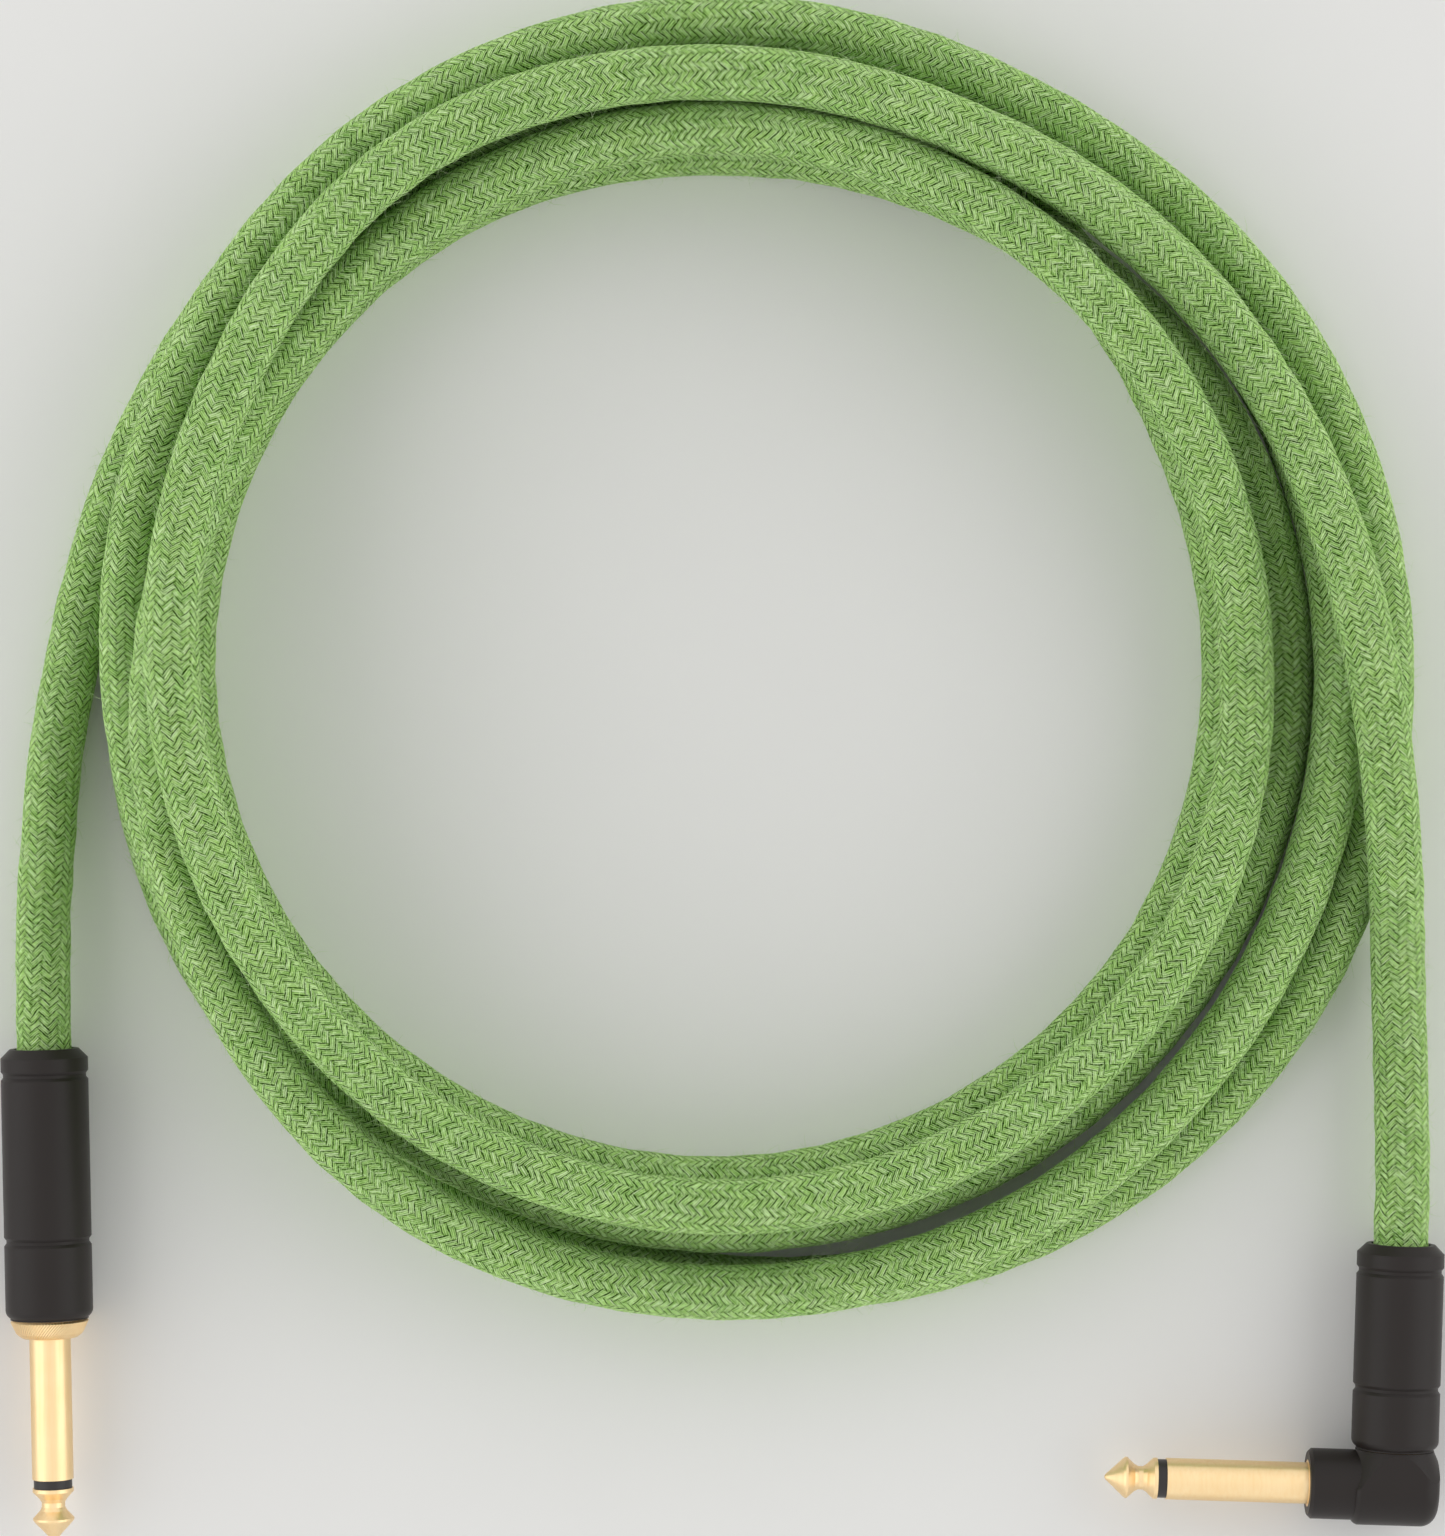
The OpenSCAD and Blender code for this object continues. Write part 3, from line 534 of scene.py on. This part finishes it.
def closed_tube(name, points, ring, step):
    """A tube of four-sided faces, each by its ring and its step round it, with a flat face at each end."""
    spans, sides = ring.shape
    after = (step + 1) % sides
    quads = np.stack([ring * sides + step, (ring + 1) * sides + step,
                      (ring + 1) * sides + after, ring * sides + after], axis=-1).reshape(-1, 4)
    ends = [np.arange(sides), np.arange(sides)[::-1] + spans * sides]
    corners = np.concatenate([quads.ravel(), *ends])
    starts = np.append(np.arange(len(quads)) * 4, quads.size + np.arange(len(ends)) * sides)
    mesh = bpy.data.meshes.new(name)
    mesh.vertices.add(len(points))
    mesh.vertices.foreach_set("co", points.astype(np.float32).ravel())
    mesh.loops.add(len(corners))
    mesh.loops.foreach_set("vertex_index", corners.astype(np.int32))
    mesh.polygons.add(len(starts))
    mesh.polygons.foreach_set("loop_start", starts.astype(np.int32))
    mesh.update(calc_edges=True)
    mesh.polygons.foreach_set("use_smooth", np.ones(len(mesh.polygons), bool))
    return mesh


def fill_map(mesh, name, across, down):
    """A map with a place for each corner of the sides. The corners of the end faces stay at zero."""
    layer = mesh.uv_layers.new(name=name)
    places = np.zeros((len(mesh.loops), 2), np.float32)
    places[:len(across)] = np.stack([across, down], axis=-1)
    layer.uv.foreach_set("vector", places.ravel())


# ---- The jacket's material. Its noise scales are in columns and stitches ----

# Uneven lie of the stitches: the noise's scale, and how far it moves a column and a stitch
WANDER_SCALE = 1.1
WANDER = (0.18, 0.15, 0)
# Where a slit starts and is full, from a stitch's middle at 0 to its side or end at 1
SLIT_SIDE = (0.6, 0.98)
SLIT_END = (1.0, 0.45)
DIVE_END = (0.84, 1.0)
DIVE_UNDER = (0.8, 0.3)
# Depth of each stitch's slits, dives and lines between yarns, between two limits by its own chance
SLIT_RANGE = (0.7, 1.5)
DIVE_RANGE = (0.4, 1.2)
YARN_LINE_RANGE = (0.6, 1.1)
YARN_LINE_SHARE = 0.75
# Fibres in a yarn: how close they lie across and along it
FIBRE_GRAIN = (5.0, 0.7)
# Flat lying fluff that covers the slits in places, and wide patches of cooler and warmer thread
COVER_SCALE = 1.7
PATCH_SCALE = 0.3
# Loose fibres that lie flat on the weave, as two sets of winding lines: their scale and place
FLAT_FIBRES = ((0.8, 0.0), (1.1, 5.0))
# What makes a place dark, as painted shade in its lines and as the fibres' and stitches' own tone: shares
# of its lines or plain sums, where each noise or chance is 0 and 1
COVER_DARK = (1.95, -0.05)
FIBRE_DARK = (0.65, -0.65)
STITCH_DARK = (-0.03, 0.03)
PATCH_DARK = (0.12, -0.12)
BARE_DARK = (0.5, 1.0)
# A stitch gets this much painted shade towards its end, where it dives under the next, from this share of
# the way on
END_SHADE = 0.12
END_SHADE_FROM = 0.3
# How pale a flat loose fibre is
FLAT_FIBRE_PALE = 0.6
# Height of slits and dives, of the lines between yarns and of fibres, as shares of the bump
SLIT_RELIEF = -0.8
YARN_LINE_RELIEF = -0.25
FIBRE_RELIEF = 0.5
WEAVE_BUMP = 0.0002
SHEEN_TINT = (0.66, 0.9, 0.42)


class StitchPlace:
    """Where a place on the jacket is in the stitch on top, and what that stitch got by chance."""

    def __init__(self, n, yarns_in_stitch):
        flat = n.add("ShaderNodeUVMap", {}, uv_map="weave")
        inputs = {"Vector": flat, "Scale": WANDER_SCALE, "Detail": 3.0, "Roughness": 0.6}
        wander = n.add("ShaderNodeTexNoise", inputs, "Color")
        self.place = n.add("ShaderNodeVectorMath", {0: wander, 1: WANDER, 2: flat},
                           operation="MULTIPLY_ADD")
        column, stitch, _ = n.parts(self.place)
        rising = n.math("SUBTRACT", stitch, column)
        falling = n.math("ADD", stitch, column)

        # The bundles pass over two and under two, so what is on top repeats in four steps
        step = n.math("SUBTRACT", n.math("FLOOR", rising), n.math("FLOOR", falling))
        step = n.math("FLOORED_MODULO", n.math("ADD", step, 0.5), 4.0)
        self.on_top = n.math("GREATER_THAN", n.math("ABSOLUTE", n.math("SUBTRACT", step, 2.0)), 1.0)
        later = n.math("GREATER_THAN", step, 2.0)
        self.across = n.mix(self.on_top, falling, rising)
        self.along = n.mix(self.on_top, rising, falling)
        run = n.product(n.total(n.math("FRACT", self.along), later), 0.5)
        self.side = n.from_middle(n.math("FRACT", self.across))
        self.end = n.from_middle(run)
        # How near this place is to an end of the stitch that this one dives under
        late = n.product(n.math("GREATER_THAN", run, 0.5), 0.5)
        self.end_above = n.from_middle(n.math("MULTIPLY_ADD", n.math("FRACT", self.across), 0.5, late))

        number = n.math("SUBTRACT", n.math("FLOOR", self.along), later)
        stitch_at = n.vector(n.math("FLOOR", self.across), number, self.on_top)
        chances = n.add("ShaderNodeTexWhiteNoise", {"Vector": stitch_at}, "Color")
        self.tone, self.slit_chance, self.ply_chance = n.parts(chances)
        yarns = n.product(self.across, float(yarns_in_stitch))
        yarn_at = n.vector(n.math("FLOOR", yarns), number, self.on_top)
        self.yarn_chance = n.add("ShaderNodeTexWhiteNoise", {"Vector": yarn_at}, "Value")
        self.yarn_side = n.from_middle(n.math("FRACT", yarns))


def jacket_lines(n, at):
    """How strong the slits along a stitch, the dives at its ends and the lines between yarns are."""
    slit = n.product(n.ramp(at.side, *SLIT_SIDE), n.ramp(at.end, *SLIT_END),
                     n.between(at.slit_chance, *SLIT_RANGE))
    dive = n.product(n.ramp(at.end, *DIVE_END), n.ramp(at.end_above, *DIVE_UNDER),
                     n.between(at.ply_chance, *DIVE_RANGE))
    yarn_line = n.product(n.math("POWER", at.yarn_side, 2.0),
                          n.between(at.ply_chance, *YARN_LINE_RANGE))
    return slit, dive, yarn_line


def jacket_material(settings):
    """Stitches of yarns side by side, over two and under two, with painted shade in the slits and where
    they dive.
    """
    n = new_material("woven_jacket")
    at = StitchPlace(n, settings.yarns)
    slit, dive, yarn_line = jacket_lines(n, at)
    close, far = FIBRE_GRAIN
    fibre = n.noise(n.vector(n.product(at.across, close), n.product(at.along, far), at.on_top), 1.0, 3.0)
    cover = n.noise(at.place, COVER_SCALE, 4.0, 0.65)
    patch = n.noise(at.place, PATCH_SCALE, 3.0)
    bare = n.math("MINIMUM", *[n.contour(at.place, *fibres) for fibres in FLAT_FIBRES])

    # How dark a place is: painted shade in its lines and at the stitch's end, and the own tone of the
    # fibres, the stitch and the patch
    line = n.math("MAXIMUM", n.math("MAXIMUM", slit, dive), n.product(yarn_line, YARN_LINE_SHARE))
    dark = n.total(
        n.product(line, n.between(cover, *COVER_DARK)),
        n.product(n.ramp(at.end, END_SHADE_FROM, 1.0), END_SHADE),
        n.between(fibre, *FIBRE_DARK),
        n.between(at.tone, *STITCH_DARK),
        n.between(patch, *PATCH_DARK),
    )
    dark = n.product(dark, n.between(bare, *BARE_DARK))
    dark = n.math("MAXIMUM", n.math("MINIMUM", dark, 1.0), 0.0)

    pale = n.product(n.math("POWER", at.yarn_chance, 3.0), n.math("SUBTRACT", 1.0, yarn_line))
    pale = n.math("MAXIMUM", pale, n.between(bare, FLAT_FIBRE_PALE, 0.0))
    hue = n.blend(patch, settings.cool_thread, settings.thread)
    hue = n.blend(pale, hue, settings.pale_thread)
    # Light in a slit has met other threads first, so the green is deeper there
    deeper = n.add("ShaderNodeVectorMath", {0: hue, 1: hue}, operation="MULTIPLY")
    colour = n.blend(dark, n.blend(dark, hue, deeper), settings.gap)

    relief = n.total(n.product(slit, SLIT_RELIEF), n.product(dive, SLIT_RELIEF),
                     n.product(yarn_line, YARN_LINE_RELIEF), n.product(fibre, FIBRE_RELIEF))
    return n.finish(
        Base_Color=colour,
        Normal=n.bump(relief, WEAVE_BUMP),
        Roughness=0.85,
        Specular_IOR_Level=n.between(dark, 0.1, 0.0),
        Sheen_Weight=n.between(dark, 0.6, 0.0),
        Sheen_Roughness=0.35,
        Sheen_Tint=SHEEN_TINT,
    )


# ---- Loose fibres, with each range from and to ----

FIBRE_LENGTH = (0.0008, 0.0029)
# How far its end rises off the jacket and curls to a side, as shares of its length
FIBRE_RISE = (0.1, 0.6)
FIBRE_CURL = (-0.6, 0.6)
RISE_POWER = 0.8
CURL_POWER = 2
FIBRE_RADIUS = (0.000026, 0.000044)
FIBRE_TAPER = 0.8
# It starts this share of the weave's relief inside the jacket's nominal radius
FIBRE_ROOT = 0.3
# Points along a fibre, its sides, and the turn from one side to the next, about a third of a circle
FIBRE_KNOTS = 3
FIBRE_SIDES = 3
FIBRE_SIDE_TURN = 2.1
# Least height of a fibre, and rings at each end of the jacket that have none
FIBRE_FLOOR = 0.00002
BARE_RINGS = 20


def fibre_mesh(settings, line):
    """Loose fibres, each a fine three-sided thread that bends away from the jacket."""
    rng = np.random.default_rng(RNG_SEED + 1)
    heading, side, up = sweep_frames(line)
    count = settings.fibres
    at = rng.integers(BARE_RINGS, len(line) - BARE_RINGS, count)
    turn = rng.uniform(0, 2 * np.pi, count)
    out = np.cos(turn)[:, None] * side[at] + np.sin(turn)[:, None] * up[at]
    round_way = np.cross(heading[at], out)
    lean = rng.uniform(0, 2 * np.pi, count)
    flat_way = np.cos(lean)[:, None] * heading[at] + np.sin(lean)[:, None] * round_way
    curl_way = np.cross(out, flat_way)
    ranges = (FIBRE_LENGTH, FIBRE_RISE, FIBRE_CURL, FIBRE_RADIUS)
    length, rise, curl, radius = [rng.uniform(*span, count)[:, None] for span in ranges]
    start = line[at] + out * (settings.diameter / 2 - settings.relief * FIBRE_ROOT)
    points = []
    for k in range(FIBRE_KNOTS):
        t = k / (FIBRE_KNOTS - 1)
        centre = (start + flat_way * length * t + out * length * rise * t**RISE_POWER
                  + curl_way * length * curl * t**CURL_POWER)
        for c in range(FIBRE_SIDES):
            angle = FIBRE_SIDE_TURN * c
            way = math.cos(angle) * out + math.sin(angle) * curl_way
            points.append(centre + radius * (1 - FIBRE_TAPER * t) * way)
    points = np.stack(points, axis=1).reshape(-1, 3)
    points[:, 2] = np.maximum(points[:, 2], FIBRE_FLOOR)

    faces = []
    for low in range(0, (FIBRE_KNOTS - 1) * FIBRE_SIDES, FIBRE_SIDES):
        for c in range(FIBRE_SIDES):
            after = (c + 1) % FIBRE_SIDES
            faces.append([low + c, low + after, low + FIBRE_SIDES + after, low + FIBRE_SIDES + c])
    first = np.arange(count) * FIBRE_KNOTS * FIBRE_SIDES
    quads = (first[:, None, None] + np.array(faces)[None]).reshape(-1, 4)
    return points, quads.tolist()


# ======== Materials of the plugs ========

# Noise scales here are in features a metre, and depths are in metres
COATING_GRAIN = 5200.0
COATING_GRAIN_DEPTH = 0.000006
TURNING_MARKS = (60, 1500, 60)
TURNING_DEPTH = 0.000004
SMUDGES = 160.0
# Fine lines drawn along the gold, soft clouds in its tone, and the share of each channel in its deeper tone
DRAWN_LINES = (1800, 70, 1800)
DRAWN_DEPTH = 0.000006
GOLD_CLOUDS = 260.0
DEEP_GOLD = (0.92, 0.8, 0.62)
# Middle of the straight plug's flange, across, and where its front is, along
FLANGE_AT = (-0.10371, -0.0064)
# The flange's hatching: its lines round the plug, their lean in radians a metre, and its depth
HATCH_LINES = 80.0
HATCH_LEAN = 11000.0
HATCH_DEPTH = 0.0001


def coating_material(settings):
    """Matte black coating with a fine grain and faint turning marks."""
    n = new_material("matte_coating")
    grain = n.noise(n.stretched(1, 1, 1), COATING_GRAIN, 3.0, 0.6)
    marks = n.noise(n.stretched(*TURNING_MARKS), 1.0)
    smudge = n.noise(n.stretched(1, 1, 1), SMUDGES, 4.0, 0.6)
    pale = tuple(min(1.0, 1.35 * c) for c in settings.coating)
    colour = n.blend(n.product(smudge, 0.35), settings.coating, pale)
    rough = n.between(grain, settings.roughness - 0.06, settings.roughness + 0.06)
    fine = n.bump(grain, COATING_GRAIN_DEPTH)
    return n.finish(
        Base_Color=colour, Specular_IOR_Level=0.25,
        Roughness=n.total(rough, n.between(smudge, -0.06, 0.06)),
        Normal=n.bump(marks, TURNING_DEPTH, normal=fine),
    )


def gold_material(name, settings, knurled=False):
    """Satin gold plating with fine lines drawn along it, and a hatched flange if knurled."""
    n = new_material(name)
    drawn = n.noise(n.stretched(*DRAWN_LINES), 1.0, 3.0, 0.6)
    cloud = n.noise(n.stretched(1, 1, 1), GOLD_CLOUDS, 3.0)
    deep = tuple(c * share for c, share in zip(settings.gold, DEEP_GOLD))
    colour = n.blend(n.product(cloud, 0.55), settings.gold, deep)
    colour = n.blend(n.between(drawn, -0.45, 0.75), colour, deep)
    rough = n.between(drawn, settings.roughness - 0.1, settings.roughness + 0.1)
    normal = n.bump(drawn, DRAWN_DEPTH)
    if knurled:
        x, y, z = n.parts(n.add("ShaderNodeTexCoord", {}, "Object"))
        angle = n.math("ARCTAN2", n.math("SUBTRACT", z, SHELL_R), n.math("SUBTRACT", x, FLANGE_AT[0]))
        slant = n.total(n.product(angle, HATCH_LINES), n.product(y, HATCH_LEAN))
        hatch = n.product(n.between(n.math("SINE", slant), 0.5, 1.0),
                          n.math("GREATER_THAN", y, FLANGE_AT[1]))
        normal = n.bump(hatch, HATCH_DEPTH, normal=normal)
        colour = n.blend(n.product(hatch, 0.35), colour, deep)
    return n.finish(Base_Color=colour, Metallic=1.0, Roughness=rough, Normal=normal)


def plain_material(name, colour, roughness, grain=1800.0, tone=0.12, metallic=0.0, depth=0.000008):
    """Moulded, sheet or drawn stock with a fine grain in its tone, roughness and surface."""
    n = new_material(name)
    fine = n.noise(n.stretched(1, 1, 1), grain, 3.0, 0.6)
    wide = n.noise(n.stretched(1, 1, 1), grain / 9)
    dark = tuple(c * (1 - 2 * tone) for c in colour)
    return n.finish(
        Base_Color=n.blend(n.product(wide, 0.8), colour, dark), Metallic=metallic,
        Roughness=n.between(fine, roughness - 0.1, roughness + 0.1),
        Normal=n.bump(fine, depth),
    )


# ======== Floor and light ========

# Half of the floor's side, how far it lies under the cable, and how dark its mottling gets
FLOOR_REACH = 3.0
FLOOR_DROP = 0.00005
FLOOR_MOTTLE = 0.97
# The side lights stand this far to the right and to the left
SIDE_LIGHT_AT = (1.05, 0.08, 0.6)
SIDE_LIGHT_SIZE = (1.5, 1.2)
TOP_LIGHT_AT = (-0.25, 0.45, 1.1)
TOP_LIGHT_SIZE = (1.6, 1.6)
# Point that the lights face
LIT_MIDDLE = Vector((0, 0.08, 0))


def area_light(name, place, size, power):
    """A soft rectangular light that faces the middle of the cable."""
    lamp = bpy.data.lights.new(name, "AREA")
    lamp.shape, lamp.size, lamp.size_y = "RECTANGLE", *size
    lamp.energy = power
    light = bpy.data.objects.new(name, lamp)
    light.location = place
    light.rotation_euler = (LIT_MIDDLE - light.location).to_track_quat("-Z", "Y").to_euler()
    bpy.context.scene.collection.objects.link(light)


def even_world(stage):
    """Light from all round, more from low down. Metal and the camera see it plain white."""
    n = Nodes(bpy.data.worlds.new("even_light"), "Background")
    _, _, height = n.parts(n.add("ShaderNodeTexCoord", {}, "Generated"))
    light = n.between(n.math("MAXIMUM", height, 0.0), stage.low_light, stage.high_light)
    ray = n.tree.nodes.new("ShaderNodeLightPath").outputs
    plain = n.math("MAXIMUM", ray["Is Camera Ray"], ray["Is Glossy Ray"])
    plain = n.math("MAXIMUM", plain, ray["Is Transmission Ray"])
    strength = n.math("MULTIPLY_ADD", plain, n.math("SUBTRACT", 1.0, light), light)
    return n.finish(Color=(1, 1, 1), Strength=strength)


# ======== Operators ========


class CABLE_OT_camera(bpy.types.Operator):
    """Places the camera straight above the cable."""

    bl_idname = "cable.camera"
    bl_label = "Place camera"

    def execute(self, context):
        stage = context.scene.cable_stage
        data = bpy.data.cameras.new("camera")
        data.lens = data.sensor_width / 2 * stage.camera_height / stage.view_half
        camera = bpy.data.objects.new("camera", data)
        camera.location = (0, stage.camera_y, stage.camera_height)
        context.scene.collection.objects.link(camera)
        context.scene.camera = camera
        return {"FINISHED"}


class CABLE_OT_jacket(bpy.types.Operator):
    """Weaves the jacket along the whole cable and adds its loose fibres."""

    bl_idname = "cable.jacket"
    bl_label = "Weave jacket"

    def execute(self, context):
        settings = context.scene.cable_jacket
        line, length = smooth_line(knots()[::-1], settings.pitch / FACES_PER_STITCH)
        material = jacket_material(settings)
        mesh = jacket_mesh(settings, line)
        mesh.materials.append(material)
        jacket = bpy.data.objects.new("woven_jacket", mesh)
        context.scene.collection.objects.link(jacket)
        fibre = plain_material("loose_fibre", settings.pale_thread, 0.8, 900.0)
        fibres = new_piece("loose_fibres", *fibre_mesh(settings, line), fibre)
        for piece in (jacket, fibres):
            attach(piece, BODY)
        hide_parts("cable_coil", "cable_lead_straight", "cable_lead_angle")
        return {"FINISHED"}


class CABLE_OT_housings(bpy.types.Operator):
    """Coats the housings, the elbow and its cap."""

    bl_idname = "cable.housings"
    bl_label = "Coat housings"

    def execute(self, context):
        coating = coating_material(context.scene.cable_housing)
        for node in ("straight_shell", "angle_shell", "angle_elbow", "angle_access_cap"):
            dress(node, coating)
        return {"FINISHED"}


class CABLE_OT_contacts(bpy.types.Operator):
    """Plates the shafts and tips, and finishes the rings between them."""

    bl_idname = "cable.contacts"
    bl_label = "Plate contacts"

    def execute(self, context):
        settings = context.scene.cable_contacts
        gold = gold_material("gold_plating", settings)
        ring = plain_material("insulating_ring", srgb(40, 36, 35), 0.4)
        dress("straight_sleeve", gold_material("gold_with_hatched_flange", settings, knurled=True))
        # The neck's brass is painted dark, as painted shade for the dark seam between the housing and the
        # elbow
        neck = plain_material("neck_brass_seam_shade", srgb(96, 76, 46), 0.5, 2400.0, metallic=1.0)
        dress("angle_threaded_neck", neck)
        for node in ("straight_tip", "angle_sleeve", "angle_tip"):
            dress(node, gold)
        for node in ("straight_tip_ring", "angle_tip_ring"):
            dress(node, ring)
        return {"FINISHED"}


class CABLE_OT_inner_work(bpy.types.Operator):
    """Finishes the lugs, wires, insulators and bushes inside both plugs."""

    bl_idname = "cable.inner_work"
    bl_label = "Finish inner work"

    def execute(self, context):
        brass = plain_material("lug_brass", srgb(205, 174, 105), 0.35, 2400.0, metallic=1.0)
        copper = plain_material("copper_strands", srgb(205, 128, 84), 0.4, 5000.0,
                                metallic=1.0, depth=0.00002)
        black = plain_material("black_moulding", srgb(34, 34, 35), 0.4)
        white = plain_material("white_moulding", srgb(226, 220, 205), 0.5, tone=0.04)
        rubber = plain_material("bush_rubber", srgb(30, 30, 30), 0.7, 3000.0)
        finishes = {
            "centre_rod": brass, "tip_lug": brass, "ground_lug": brass,
            "core_insulator": white, "insulator_tube": white, "core_insulation": white,
            "back_washer": black, "inner_jacket": black, "strain_bush": rubber,
            "shield_pigtail": copper, "core_wire": copper,
        }
        for plug in ("straight", "angle"):
            for piece, material in finishes.items():
                dress(f"{plug}_{piece}", material)
        return {"FINISHED"}


class CABLE_OT_stage(bpy.types.Operator):
    """Lays the floor and lights the cable softly."""

    bl_idname = "cable.stage"
    bl_label = "Set stage"

    def execute(self, context):
        stage = context.scene.cable_stage
        n = new_material("pale_floor")
        mottle = n.noise(n.stretched(1, 1, 1), 30.0, 4.0)
        dark = tuple(FLOOR_MOTTLE * c for c in stage.floor)
        colour = n.blend(mottle, stage.floor, dark)
        material = n.finish(Base_Color=colour, Roughness=0.9, Specular_IOR_Level=0.1)
        x = FLOOR_REACH
        corners = [(-x, -x, 0), (x, -x, 0), (x, x, 0), (-x, x, 0)]
        floor = new_piece("floor", corners, [(0, 1, 2, 3)], material)
        floor.location.z = -FLOOR_DROP

        context.scene.world = even_world(stage)
        far, y, z = SIDE_LIGHT_AT
        area_light("left_light", (-far, y, z), SIDE_LIGHT_SIZE, stage.side_light)
        area_light("right_light", (far, y, z), SIDE_LIGHT_SIZE, stage.side_light)
        area_light("top_light", TOP_LIGHT_AT, TOP_LIGHT_SIZE, stage.top_light)
        context.scene.view_settings.view_transform = "Standard"
        return {"FINISHED"}


OPERATORS = (
    CABLE_OT_camera, CABLE_OT_jacket, CABLE_OT_housings, CABLE_OT_contacts,
    CABLE_OT_inner_work, CABLE_OT_stage,
)


class CABLE_PT_looks(bpy.types.Panel):
    """Lists the steps and their settings."""

    bl_idname = "CABLE_PT_looks"
    bl_label = "Instrument cable"
    bl_space_type = "VIEW_3D"
    bl_region_type = "UI"
    bl_category = "Cable"

    def draw(self, context):
        for operator in OPERATORS:
            self.layout.operator(operator.bl_idname)
        for name, group in SETTINGS.items():
            box = self.layout.box()
            box.label(text=group.__doc__)
            for key in group.__annotations__:
                box.prop(getattr(context.scene, name), key)


CLASSES = (*SETTINGS.values(), *OPERATORS, CABLE_PT_looks)


def register():
    """Adds the classes, and a group of settings of each kind to the scene."""
    for cls in CLASSES:
        bpy.utils.register_class(cls)
    for name, group in SETTINGS.items():
        setattr(bpy.types.Scene, name, PointerProperty(type=group))


def unregister():
    """Takes the settings and the classes out again."""
    for name in SETTINGS:
        delattr(bpy.types.Scene, name)
    for cls in reversed(CLASSES):
        bpy.utils.unregister_class(cls)


def main():
    """Makes the looks in order, camera and cable first."""
    register()
    bpy.ops.cable.camera()
    bpy.ops.cable.jacket()
    bpy.ops.cable.housings()
    bpy.ops.cable.contacts()
    bpy.ops.cable.inner_work()
    bpy.ops.cable.stage()


if __name__ == "__main__":
    main()
